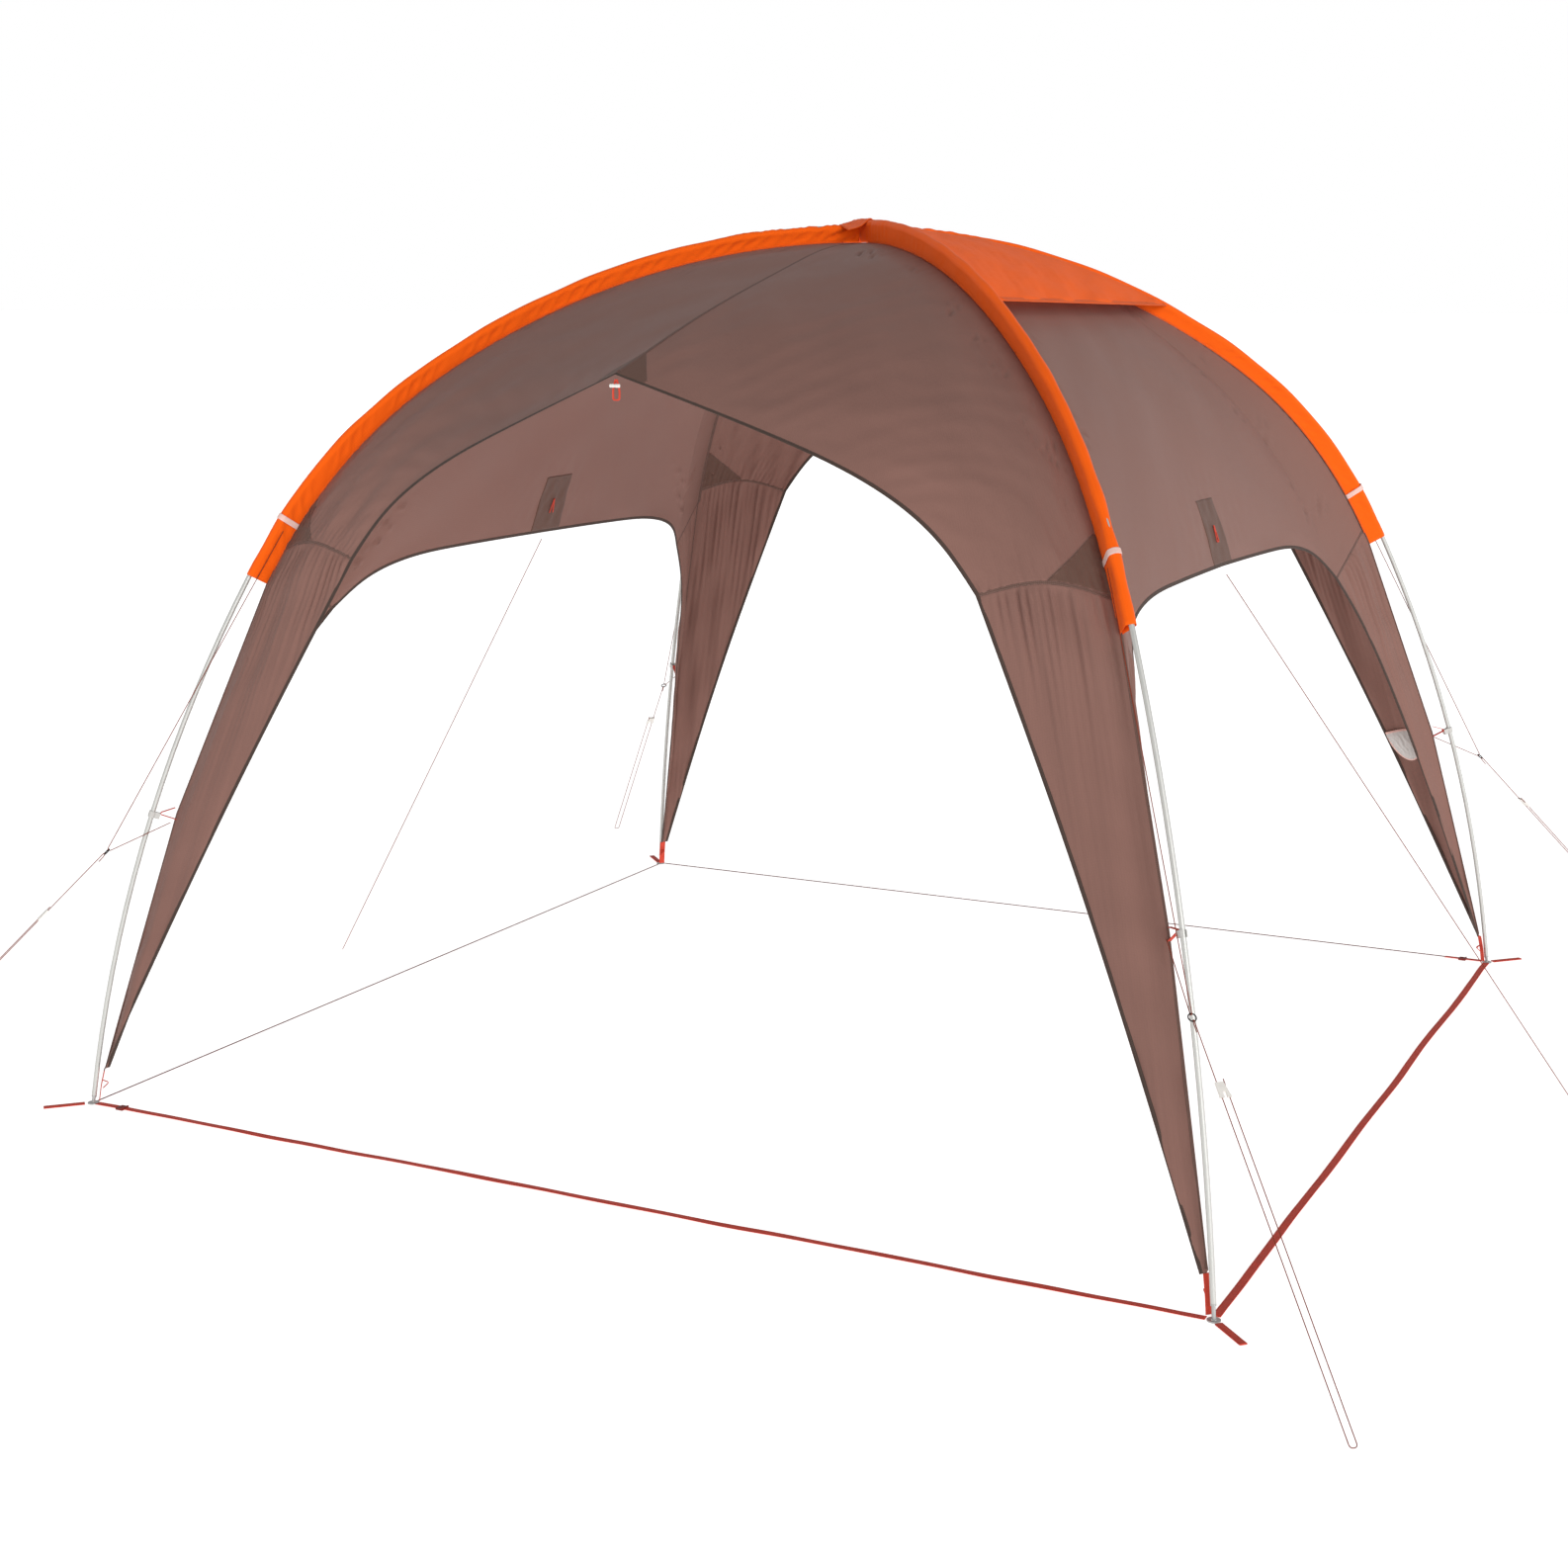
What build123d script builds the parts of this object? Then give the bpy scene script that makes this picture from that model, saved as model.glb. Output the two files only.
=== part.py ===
from build123d import *

import os
from math import asin, cos, degrees, pi, radians, sin, sqrt

os.makedirs("parts", exist_ok=True)

# A dome tarp shelter on two crossed pole arches, in millimetres.
# The origin is on the ground under the crown. The doors face -Y (front) and
# +Y (rear), and the low sides face -X (left) and +X (right).

# Pole arches: three tangent arcs from the crown to each foot.
CROWN_HEIGHT = 2277
CROWN_RADIUS = 2176
SHOULDER_RADIUS = 1370
LEG_RADIUS = 4024
CROWN_END = radians(34.66)
SHOULDER_END = radians(59.82)
POLE_DIAMETER = 13
POLE_BORE = 11
CROSSING_LIFT = 7
SECTIONS_PER_POLE = 8
FERRULE_LENGTH = 80
TUBE_FIT = 0.05
SHOCK_CORD = 3
TIP_DIAMETER = 9
TIP_HEIGHT = 30

# Sleeves: flattened tubes with the pole at the outer edge and a sewn inner seam.
SLEEVE_RADIUS = 13
SLEEVE_SHIFT = 5
SLEEVE_CLOTH = 1
SEAM_RADIUS = 3
SEAM_INSET_CROWN = 46
SEAM_INSET_LEG = 52
SLEEVE_START = radians(1.6)
SLEEVE_END = radians(60.9)

# Cloth panels.
CLOTH = 1.5
BINDING_WIDTH = 8
BINDING_THICKNESS = 2.6
SEAM_GAP = 1.6
SEWN_GAP = 1

# Hardware and cords.
WEBBING_WIDTH = 20
WEBBING_THICKNESS = 1.6
WEBBING_LEVEL = 2
GUY_CORD = 2.2
PERIMETER_CORD = 3
CLIP_HEIGHT = 775

CORNERS = {"front_left": (-1, -1), "front_right": (1, -1), "rear_right": (1, 1), "rear_left": (-1, 1)}
LIFTED = ("front_right", "rear_left")


def arch_point(angle, inset=0):
    """Distance from the crown's axis and height, at an angle measured from straight up."""
    low_centre = CROWN_HEIGHT - CROWN_RADIUS
    shoulder = CROWN_RADIUS - SHOULDER_RADIUS
    leg = SHOULDER_RADIUS - LEG_RADIUS
    out, up, radius = 0, low_centre, CROWN_RADIUS
    if angle > CROWN_END:
        out, up, radius = shoulder * sin(CROWN_END), low_centre + shoulder * cos(CROWN_END), SHOULDER_RADIUS
    if angle > SHOULDER_END:
        out, up, radius = out + leg * sin(SHOULDER_END), up + leg * cos(SHOULDER_END), LEG_RADIUS
    return out + (radius - inset) * sin(angle), up + (radius - inset) * cos(angle)


def angle_at_height(height, inset=0, low=0.0, high=1.6):
    """The arch angle at which the inset arch comes down to a height."""
    for _ in range(50):
        middle = (low + high) / 2
        if arch_point(middle, inset)[1] > height:
            low = middle
        else:
            high = middle
    return low


def angle_at_reach(reach):
    """The arch angle at which the pole stands a distance out from the crown's axis."""
    low, high = 0.0, 1.4
    for _ in range(50):
        middle = (low + high) / 2
        if arch_point(middle)[0] < reach:
            low = middle
        else:
            high = middle
    return low


def seam_inset(angle):
    """How far the sleeve's sewn seam lies inside the pole's centre line."""
    share = min(max((degrees(angle) - 30) / 27, 0), 1)
    return SEAM_INSET_CROWN + (SEAM_INSET_LEG - SEAM_INSET_CROWN) * share * share * (3 - 2 * share)


def seam_point(angle):
    """A point of the sleeve seam in the first quadrant's diagonal plane."""
    reach, height = arch_point(angle, seam_inset(angle))
    return Vector(reach / sqrt(2), reach / sqrt(2), height)


def at_corner(corner, reach, height, aside=0):
    """A point in a corner's diagonal plane; aside is towards the nearer door."""
    x_sign, y_sign = CORNERS[corner]
    across = (reach - aside) / sqrt(2)
    along = (reach + aside) / sqrt(2)
    return Vector(x_sign * across, y_sign * along, height)


def turned(point, corner):
    """A first-quadrant point moved to a corner's quadrant."""
    x_sign, y_sign = CORNERS[corner]
    return Vector(point.X * x_sign, point.Y * y_sign, point.Z)


def arch_lift(corner):
    """The arches cross at the crown, one just above the other."""
    return CROSSING_LIFT if corner in LIFTED else -CROSSING_LIFT


def arch_plane(corner, angle):
    """A plane square to the pole, with its local y pointing out of the dome."""
    reach, height = arch_point(angle)
    outwards = at_corner(corner, sin(angle), cos(angle))
    downwards = at_corner(corner, cos(angle), -sin(angle))
    origin = at_corner(corner, reach, height + arch_lift(corner))
    return Plane(origin=origin, x_dir=outwards.cross(downwards), z_dir=downwards)


# Edges of the cloth, in the first quadrant.
FOOT_ANGLE = angle_at_height(0)
FOOT_REACH = arch_point(FOOT_ANGLE)[0]
DOOR_PEAK = Vector(0, 1332, 1912)
DOOR_SEAM_END = Vector(839, 1213, 1441)
LEG_TIP_CORNER = Vector(1493, 1493, 92)
DOOR_LEG_TIP = Vector(1483, 1509, 92)
SIDE_LEG_TIP = Vector(1491, 1479, 92)
CLIP_CORNER = Vector(1893 / sqrt(2), 1893 / sqrt(2), 765)
LEG_SEAM_ANGLE = angle_at_height(1440, SEAM_INSET_LEG)
SIDE_SEAM_ANGLE = angle_at_height(1400, SEAM_INSET_LEG)
SIDE_PANEL_TOP = angle_at_reach(800)
VENT_ANGLE = angle_at_reach(930)

ridge_line = Spline((0, 8, 2230), (0, 212, 2213), (0, 436, 2165), (0, 897, 2048), tuple(DOOR_PEAK))
crown_edge = Spline(
    tuple(DOOR_PEAK), (357, 1247, 1775), (600, 1211, 1662), (744, 1207, 1555), tuple(DOOR_SEAM_END)
)
door_leg_edge = Spline(tuple(DOOR_SEAM_END), (1130, 1338, 866), tuple(DOOR_LEG_TIP))
hem_corner = Vector(1115, 940, 1270)
low_hem = Spline((1042, 0, 1398), (1050, 450, 1394), (1062, 720, 1375), (1084, 862, 1330), tuple(hem_corner))
side_leg_edge = Spline(
    tuple(hem_corner), (1164, 1059, 1136), (1254, 1196, 876), (1393, 1373, 426), tuple(SIDE_LEG_TIP)
)
leg_seam = Spline(tuple(seam_point(LEG_SEAM_ANGLE)), (1000, 1180, 1475), tuple(DOOR_SEAM_END))


def corner_line(start_angle):
    """The leg's corner: down the sleeve seam, to the clip tab, to the tip above the foot."""
    points = [seam_point(start_angle), seam_point(SLEEVE_END), CLIP_CORNER, LEG_TIP_CORNER]
    lengths = [(points[k + 1] - points[k]).length for k in range(3)]

    def place(share):
        left = share * sum(lengths)
        for k in range(3):
            if left <= lengths[k] or k == 2:
                return points[k] + (points[k + 1] - points[k]) * min(left / lengths[k], 1)
            left -= lengths[k]

    return place


def straight(start, end):
    """A straight edge as a function of its share."""
    return lambda share: start + (end - start) * share


def along(curve):
    """A curve as a function of its share."""
    return lambda share: curve.position_at(share)


def seam_run(start, end):
    """The sleeve seam between two arch angles as a function of its share."""
    return lambda share: seam_point(start + (end - start) * share)


def patch(near, far, first, last, shares_across, shares_down):
    """A grid of points over the surface that four edges span.

    near and far run down the patch, first and last run across its two ends.
    """
    rows = []
    for v in shares_down:
        row = []
        for u in shares_across:
            sides = near(v) * (1 - u) + far(v) * u
            ends = first(u) * (1 - v) + last(u) * v
            corners = (near(0) * (1 - u) + far(0) * u) * (1 - v) + (near(1) * (1 - u) + far(1) * u) * v
            row.append(sides + ends - corners)
        rows.append(row)
    return rows


def spread(count, start=0.0, end=1.0):
    """Evenly spaced shares from start to end."""
    return [start + (end - start) * k / count for k in range(count + 1)]


def line_resampled(points, cut_start, cut_end):
    """The same number of points along a line of points, with both ends cut short."""
    lengths = [(points[k + 1] - points[k]).length for k in range(len(points) - 1)]
    whole = sum(lengths)
    most = max(whole - 2, 0.4 * whole)
    shrink = min(1, most / max(cut_start + cut_end, 0.001))
    start, end = cut_start * shrink, whole - cut_end * shrink
    placed = []
    for k in range(len(points)):
        left = start + (end - start) * k / (len(points) - 1)
        index = 0
        while index < len(lengths) - 1 and left > lengths[index]:
            left -= lengths[index]
            index += 1
        placed.append(points[index] + (points[index + 1] - points[index]) * (left / lengths[index]))
    return placed


def trimmed(rows, near=SEAM_GAP, far=SEAM_GAP, first=SEAM_GAP, last=SEAM_GAP):
    """A grid cut back from its four edges by the given lengths."""
    cut_rows = [line_resampled(row, near, far) for row in rows]
    columns = [line_resampled(list(column), first, last) for column in zip(*cut_rows)]
    return [list(row) for row in zip(*columns)]


def grid_normal(rows, i, j):
    """The surface direction of a grid of points at one of them."""
    down = rows[min(i + 1, len(rows) - 1)][j] - rows[max(i - 1, 0)][j]
    across = rows[i][min(j + 1, len(rows[0]) - 1)] - rows[i][max(j - 1, 0)]
    return down.cross(across).normalized()


def moved_off(rows, distance):
    """A grid moved along its own normals, towards the inside of the dome."""
    moved = []
    for i in range(len(rows)):
        moved.append([])
        for j in range(len(rows[0])):
            normal = grid_normal(rows, i, j)
            place = rows[i][j]
            inwards = Vector(-place.X, -place.Y, 900 - place.Z)
            side = 1 if normal.dot(inwards) > 0 else -1
            moved[-1].append(place + normal * side * distance)
    return moved


def sheet(rows, thickness):
    """A thin closed solid over a grid of points, half its thickness to each side."""
    last_row, last_column = len(rows) - 1, len(rows[0]) - 1
    above, below = {}, {}
    for i in range(last_row + 1):
        for j in range(last_column + 1):
            half = grid_normal(rows, i, j) * (thickness / 2)
            above[i, j] = rows[i][j] + half
            below[i, j] = rows[i][j] - half
    corners = []
    for i in range(last_row):
        for j in range(last_column):
            for layer in (above, below):
                corners.append((layer[i, j], layer[i, j + 1], layer[i + 1, j + 1]))
                corners.append((layer[i, j], layer[i + 1, j + 1], layer[i + 1, j]))
    rim = [(0, j) for j in range(last_column)]
    rim += [(i, last_column) for i in range(last_row)]
    rim += [(last_row, j) for j in range(last_column, 0, -1)]
    rim += [(i, 0) for i in range(last_row, 0, -1)]
    for here, there in zip(rim, rim[1:] + rim[:1]):
        corners.append((above[here], above[there], below[there]))
        corners.append((above[here], below[there], below[here]))
    faces = [Face(Wire.make_polygon(three, close=True)) for three in corners]
    return Solid(Shell(faces))


def turned_grid(rows, corner):
    """A first-quadrant grid moved to a corner's quadrant."""
    return [[turned(point, corner) for point in row] for row in rows]


def finish(part, label):
    """Name a finished piece and write it out."""
    part.label = label
    export_step(part, f"parts/{label}.step")


# ---------------------------------------------------------------- poles
def arch_path(corner, start, end):
    """The pole's centre line from one arch angle to another, as tangent arcs."""
    stops = [start] + [stop for stop in (CROWN_END, SHOULDER_END) if start < stop < end] + [end]
    lift = arch_lift(corner)
    for low, high in zip(stops, stops[1:]):
        points = []
        for angle in (low, (low + high) / 2, high):
            reach, height = arch_point(angle)
            points.append(at_corner(corner, reach, height + lift))
        ThreePointArc(*points)


POLE_END = angle_at_height(TIP_HEIGHT)


def angle_share(share):
    """The arch angle at a share of the way down from the crown, by length."""
    bends = [(0, CROWN_END, CROWN_RADIUS), (CROWN_END, SHOULDER_END, SHOULDER_RADIUS)]
    bends.append((SHOULDER_END, POLE_END, LEG_RADIUS))
    left = share * sum((end - start) * radius for start, end, radius in bends)
    for start, end, radius in bends:
        if left <= (end - start) * radius + 1e-6:
            return start + left / radius
        left -= (end - start) * radius
    return POLE_END


HALF = SECTIONS_PER_POLE // 2
JOINT_ANGLES = [angle_share(k / HALF) for k in range(HALF + 1)]
FERRULE_TURN = FERRULE_LENGTH / 2 / CROWN_RADIUS


def tube_along(corner, start, end, outer, inner):
    """A bent tube between two arch angles."""
    with BuildPart() as tube:
        with BuildLine() as path:
            arch_path(corner, start, end)
        with BuildSketch(arch_plane(corner, start)):
            Circle(outer / 2)
            if inner:
                Circle(inner / 2, mode=Mode.SUBTRACT)
        sweep(path=path.line)
    return tube.part


POLE_PAIRS = {"left_diagonal": ("front_left", "rear_right"), "right_diagonal": ("front_right", "rear_left")}
JOINT_GAP = 0.00002

for pole_name, ends in POLE_PAIRS.items():
    with BuildPart() as pole_sections:
        for corner in ends:
            for top, bottom in zip(JOINT_ANGLES, JOINT_ANGLES[1:]):
                add(tube_along(corner, top + JOINT_GAP, bottom - JOINT_GAP, POLE_DIAMETER, POLE_BORE))
    finish(pole_sections.part, f"pole_sections_{pole_name}")

with BuildPart() as pole_ferrules:
    for corner in CORNERS:
        for angle in JOINT_ANGLES[1:-1]:
            radius = CROWN_RADIUS if angle < CROWN_END else SHOULDER_RADIUS
            radius = radius if angle < SHOULDER_END else LEG_RADIUS
            turn = FERRULE_LENGTH / 2 / radius
            add(tube_along(corner, angle - turn, angle + turn, POLE_BORE - 2 * TUBE_FIT, 8))
    for corner in ("front_left", "front_right"):
        opposite = dict(POLE_PAIRS.values())[corner]
        for side in (corner, opposite):
            add(tube_along(side, JOINT_GAP, FERRULE_TURN, POLE_BORE - 2 * TUBE_FIT, 8))
finish(pole_ferrules.part, "pole_ferrules")

CORD_END = POLE_END - 40 / LEG_RADIUS

with BuildPart() as shock_cords:
    for corner in CORNERS:
        add(tube_along(corner, JOINT_GAP, CORD_END, SHOCK_CORD, 0))
finish(shock_cords.part, "shock_cords")

with BuildPart() as pole_tips:
    for corner in CORNERS:
        reach, height = arch_point(POLE_END)
        end = at_corner(corner, reach, height + arch_lift(corner))
        downwards = at_corner(corner, cos(POLE_END), -sin(POLE_END))
        collar_plane = Plane(origin=end + downwards * 0.1, z_dir=downwards)
        with BuildSketch(collar_plane):
            Circle(POLE_DIAMETER / 2)
        extrude(amount=5)
        with BuildSketch(collar_plane):
            Circle(POLE_BORE / 2 - TUBE_FIT)
        extrude(amount=-25)
        ball = collar_plane.origin + downwards * ((collar_plane.origin.Z - TIP_DIAMETER / 2) / -downwards.Z)
        with BuildSketch(collar_plane):
            Circle(TIP_DIAMETER / 2)
        extrude(amount=(ball - collar_plane.origin).length)
        with Locations(ball):
            Sphere(TIP_DIAMETER / 2)
finish(pole_tips.part, "pole_tips")


# -------------------------------------------------------------- sleeves
def teardrop(big, small, depth):
    """Outline round the pole above, narrowing to the seam below; local y is outwards."""
    tilt = asin((big - small) / depth)
    side, fall = cos(tilt), -sin(tilt)
    with BuildLine() as outline:
        ThreePointArc((big * side, big * fall), (0, big), (-big * side, big * fall))
        Line((-big * side, big * fall), (-small * side, small * fall - depth))
        ThreePointArc(
            (-small * side, small * fall - depth), (0, -depth - small), (small * side, small * fall - depth)
        )
        Line((small * side, small * fall - depth), (big * side, big * fall))
    make_face(outline.edges())


def sleeve_depth(corner, angle):
    """From the big circle's centre to the seam, which both arches share in height."""
    return seam_inset(angle) + arch_lift(corner) * cos(angle) - SLEEVE_SHIFT - SEAM_RADIUS


SLEEVE_STATIONS = [SLEEVE_START + (SLEEVE_END - SLEEVE_START) * k / 7 for k in range(8)]


def sleeve_plane(corner, angle):
    """The section plane of a sleeve, at the centre of its big circle."""
    plane = arch_plane(corner, angle)
    return plane.offset(0).move(Location(plane.y_dir * -SLEEVE_SHIFT))


for corner in CORNERS:
    with BuildPart() as sleeve:
        for shrink, mode in ((0, Mode.ADD), (SLEEVE_CLOTH, Mode.SUBTRACT)):
            for angle in SLEEVE_STATIONS:
                with BuildSketch(sleeve_plane(corner, angle)):
                    teardrop(SLEEVE_RADIUS - shrink, SEAM_RADIUS - shrink, sleeve_depth(corner, angle))
            loft(mode=mode)
    finish(sleeve.part, f"sleeve_{corner}")

STRAP_ANGLE = radians(55.8)
STRAP_WIDTH = 15
STRAP_GROWTH = 2.2
STRAP_CLEARANCE = 0.6

with BuildPart() as sleeve_straps:
    for corner in CORNERS:
        depth = sleeve_depth(corner, STRAP_ANGLE)
        for growth, mode in ((STRAP_GROWTH, Mode.ADD), (STRAP_CLEARANCE, Mode.SUBTRACT)):
            with BuildSketch(sleeve_plane(corner, STRAP_ANGLE)):
                teardrop(SLEEVE_RADIUS + growth, SEAM_RADIUS + growth, depth)
            extrude(amount=STRAP_WIDTH / 2, both=True, mode=mode)
        with BuildSketch(sleeve_plane(corner, STRAP_ANGLE)):
            with Locations((0, -depth - 6)):
                Rectangle(40, 24)
        extrude(amount=STRAP_WIDTH, both=True, mode=Mode.SUBTRACT)
finish(sleeve_straps.part, "sleeve_straps")

CAP_HALF_WIDTH = 46
CAP_RISE = 10
CAP_CLEARANCE = 3
CAP_TOP = CROWN_HEIGHT + CROSSING_LIFT + POLE_DIAMETER / 2 + CAP_RISE + CAP_CLEARANCE

with BuildPart() as apex_patch:
    cap_rows = []
    for u in spread(6, -1, 1):
        cap_rows.append([])
        for v in spread(6, -1, 1):
            height = CAP_TOP - CAP_RISE * (u * u + v * v) / 2
            cap_rows[-1].append(Vector((u - v) * CAP_HALF_WIDTH, (u + v) * CAP_HALF_WIDTH, height))
    add(sheet(cap_rows, CLOTH))
finish(apex_patch.part, "apex_patch")

# --------------------------------------------------------- cloth panels
crown_edges = (
    seam_run(SLEEVE_START / 4, LEG_SEAM_ANGLE),
    along(crown_edge),
    along(ridge_line),
    along(leg_seam),
)


def crown_grid(shares_across, shares_down):
    """Half of a door's crown: across from sleeve seam to door edge, down from ridge to leg seam."""
    return patch(*crown_edges, shares_across, shares_down)


door_leg_edges = (
    corner_line(LEG_SEAM_ANGLE),
    along(door_leg_edge),
    along(leg_seam),
    straight(LEG_TIP_CORNER, DOOR_LEG_TIP),
)
side_leg_edges = (
    corner_line(SIDE_SEAM_ANGLE),
    along(side_leg_edge),
    straight(seam_point(SIDE_SEAM_ANGLE), hem_corner),
    straight(LEG_TIP_CORNER, SIDE_LEG_TIP),
)

CROWN = crown_grid(spread(8), spread(14))
DOOR_LEG = patch(*door_leg_edges, spread(4), spread(12))
SIDE_LEG = patch(*side_leg_edges, spread(3), spread(12))
EDGE_CUT = BINDING_WIDTH + SEWN_GAP
HEM_CUT = EDGE_CUT + 2.5

for corner in CORNERS:
    with BuildPart() as crown_panel:
        add(sheet(turned_grid(trimmed(CROWN, far=EDGE_CUT), corner), CLOTH))
    finish(crown_panel.part, f"crown_panel_{corner}")
    with BuildPart() as leg_panels:
        add(sheet(turned_grid(trimmed(DOOR_LEG, far=EDGE_CUT), corner), CLOTH))
        add(sheet(turned_grid(trimmed(SIDE_LEG, far=EDGE_CUT), corner), CLOTH))
    finish(leg_panels.part, f"leg_panels_{corner}")


def flipped(point):
    """A point moved to the other side of the door's middle, from rear to front."""
    return Vector(point.X, -point.Y, point.Z)


CORNER_SHARE = 0.12


def low_edge(share):
    """The low side's bottom edge: leg seam, hem across the side, leg seam."""
    if share > 0.5:
        return low_edge_half(1 - share)
    return flipped(low_edge_half(share))


def low_edge_half(share):
    """Half of that edge, on the rear side, from the sleeve seam to the middle."""
    seam_end = seam_point(SIDE_SEAM_ANGLE)
    if share < CORNER_SHARE:
        return seam_end + (hem_corner - seam_end) * (share / CORNER_SHARE)
    return low_hem.position_at(1 - (share - CORNER_SHARE) / (0.5 - CORNER_SHARE))


def front_seam(share):
    """The sleeve seam beside the low side's front half."""
    return flipped(seam_run(SIDE_PANEL_TOP, SIDE_SEAM_ANGLE)(share))


side_panel_edges = (
    front_seam,
    seam_run(SIDE_PANEL_TOP, SIDE_SEAM_ANGLE),
    straight(front_seam(0), seam_point(SIDE_PANEL_TOP)),
    low_edge,
)
ACROSS_SIDE = spread(3, 0, CORNER_SHARE) + spread(12, CORNER_SHARE, 1 - CORNER_SHARE)[1:-1]
ACROSS_SIDE += spread(3, 1 - CORNER_SHARE, 1)


def side_grid(shares_across, shares_down):
    """The low side's panel: across from front to rear, down from the vent to the hem."""
    return patch(*side_panel_edges, shares_across, shares_down)


VENT_ASIDE = SLEEVE_RADIUS + 2.5


def vent_edge(side_sign):
    """The vent panel's edge beside a sleeve, at the height of its pole."""

    def place(share):
        angle = angle_at_reach(40) + (VENT_ANGLE - angle_at_reach(40)) * share
        reach, height = arch_point(angle)
        x = (reach + VENT_ASIDE) / sqrt(2)
        y = (reach - VENT_ASIDE) / sqrt(2)
        return Vector(x, side_sign * y, height + side_sign * -CROSSING_LIFT)

    return place


vent_edges = (
    vent_edge(-1),
    vent_edge(1),
    straight(vent_edge(-1)(0), vent_edge(1)(0)),
    straight(vent_edge(-1)(1), vent_edge(1)(1)),
)
SIDE = side_grid(ACROSS_SIDE, spread(8))
VENT = patch(*vent_edges, spread(8), spread(10))


def half_turned(rows, side):
    """A right-hand grid as it is, or turned half round to the left."""
    sign = 1 if side == "right" else -1
    return [[Vector(point.X * sign, point.Y * sign, point.Z) for point in row] for row in rows]


for side in ("left", "right"):
    with BuildPart() as side_panel:
        add(sheet(half_turned(trimmed(SIDE, last=HEM_CUT), side), CLOTH))
    finish(side_panel.part, f"side_panel_{side}")
    with BuildPart() as vent_panel:
        add(sheet(half_turned(trimmed(VENT), side), CLOTH))
    finish(vent_panel.part, f"vent_panel_{side}")


def edge_band(edge_points, inner_points):
    """A narrow grid along an edge, reaching inwards by the binding's width."""
    rows = []
    for edge, inner in zip(edge_points, inner_points):
        rows.append([edge, edge + (inner - edge).normalized() * BINDING_WIDTH])
    return rows


door_half_edge = [row[-1] for row in DOOR_LEG[::-1]] + [row[-1] for row in CROWN[-2::-1]]
door_half_inner = [row[-2] for row in DOOR_LEG[::-1]] + [row[-2] for row in CROWN[-2::-1]]
door_band = edge_band(door_half_edge, door_half_inner)
across_door = [[Vector(-point.X, point.Y, point.Z) for point in row] for row in door_band[-2::-1]]
hem_edge = [SIDE[-1][k] for k in range(3, len(ACROSS_SIDE) - 3)]
hem_inner = [SIDE[-2][k] for k in range(3, len(ACROSS_SIDE) - 3)]
leg_edge = [row[-1] for row in SIDE_LEG[:0:-1]]
leg_inner = [row[-2] for row in SIDE_LEG[:0:-1]]
side_half = edge_band(leg_edge, leg_inner)
side_band = [[flipped(point) for point in row] for row in side_half]
side_band += edge_band(hem_edge, hem_inner) + side_half[::-1]

with BuildPart() as door_binding_rear:
    add(sheet(door_band + across_door, BINDING_THICKNESS))
finish(door_binding_rear.part, "door_binding_rear")

with BuildPart() as door_binding_front:
    add(sheet([[flipped(point) for point in row] for row in door_band + across_door], BINDING_THICKNESS))
finish(door_binding_front.part, "door_binding_front")

for side in ("left", "right"):
    with BuildPart() as side_binding:
        add(sheet(half_turned(side_band, side), BINDING_THICKNESS))
    finish(side_binding.part, f"side_binding_{side}")

# Second layers of cloth, sewn inside at the leg seams, door peaks and hem middles.
PATCH_CLOTH = 1
PATCH_DEPTH = 6


def tapered(start, end, narrow, wide, count):
    """Shares from start to end, paired with a width that grows from narrow to wide."""
    steps = [k / count for k in range(count + 1)]
    return [(start + (end - start) * step, narrow + (wide - narrow) * step) for step in steps]


gusset_rows = []
for share_down, share_across in tapered(0.915, 0.985, 0.06, 0.45, 4):
    gusset_rows += crown_grid(spread(4, 0.03, share_across), [share_down])
peak_rows = []
for share_across, share_down in tapered(0.91, 0.98, 0.02, 0.07, 3):
    column = crown_grid([share_across], spread(3, 0.004, share_down))
    peak_rows.append([row[0] for row in column])
hem_patch_rows = side_grid(spread(4, 0.47, 0.53), spread(4, 0.82, 0.975))

with BuildPart() as reinforcement_patches:
    for corner in CORNERS:
        add(sheet(moved_off(turned_grid(gusset_rows, corner), PATCH_DEPTH), PATCH_CLOTH))
        add(sheet(moved_off(turned_grid(peak_rows, corner), PATCH_DEPTH), PATCH_CLOTH))
    for side in ("left", "right"):
        add(sheet(moved_off(half_turned(hem_patch_rows, side), PATCH_DEPTH), PATCH_CLOTH))
finish(reinforcement_patches.part, "reinforcement_patches")

# ------------------------------------------------- leg clips and webbing
CLIP_ANGLE = angle_at_height(CLIP_HEIGHT)
CLIP_OUTER = 19
CLIP_BORE = 13.8
CLIP_TALL = 16
CLIP_ARM = 13

with BuildPart() as pole_clips:
    for corner in CORNERS:
        plane = arch_plane(corner, CLIP_ANGLE)
        with BuildSketch(plane):
            Circle(CLIP_OUTER / 2)
            with Locations((0, -CLIP_OUTER / 2 - CLIP_ARM / 2 + 2)):
                Rectangle(12, CLIP_ARM)
            Circle(CLIP_BORE / 2, mode=Mode.SUBTRACT)
            with Locations((0, CLIP_OUTER / 2)):
                Rectangle(7, CLIP_OUTER / 2, mode=Mode.SUBTRACT)
            with Locations((0, -CLIP_OUTER / 2 - CLIP_ARM / 2 + 2)):
                Rectangle(7, 3.5, mode=Mode.SUBTRACT)
        extrude(amount=CLIP_TALL / 2, both=True)
finish(pole_clips.part, "pole_clips")

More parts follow.
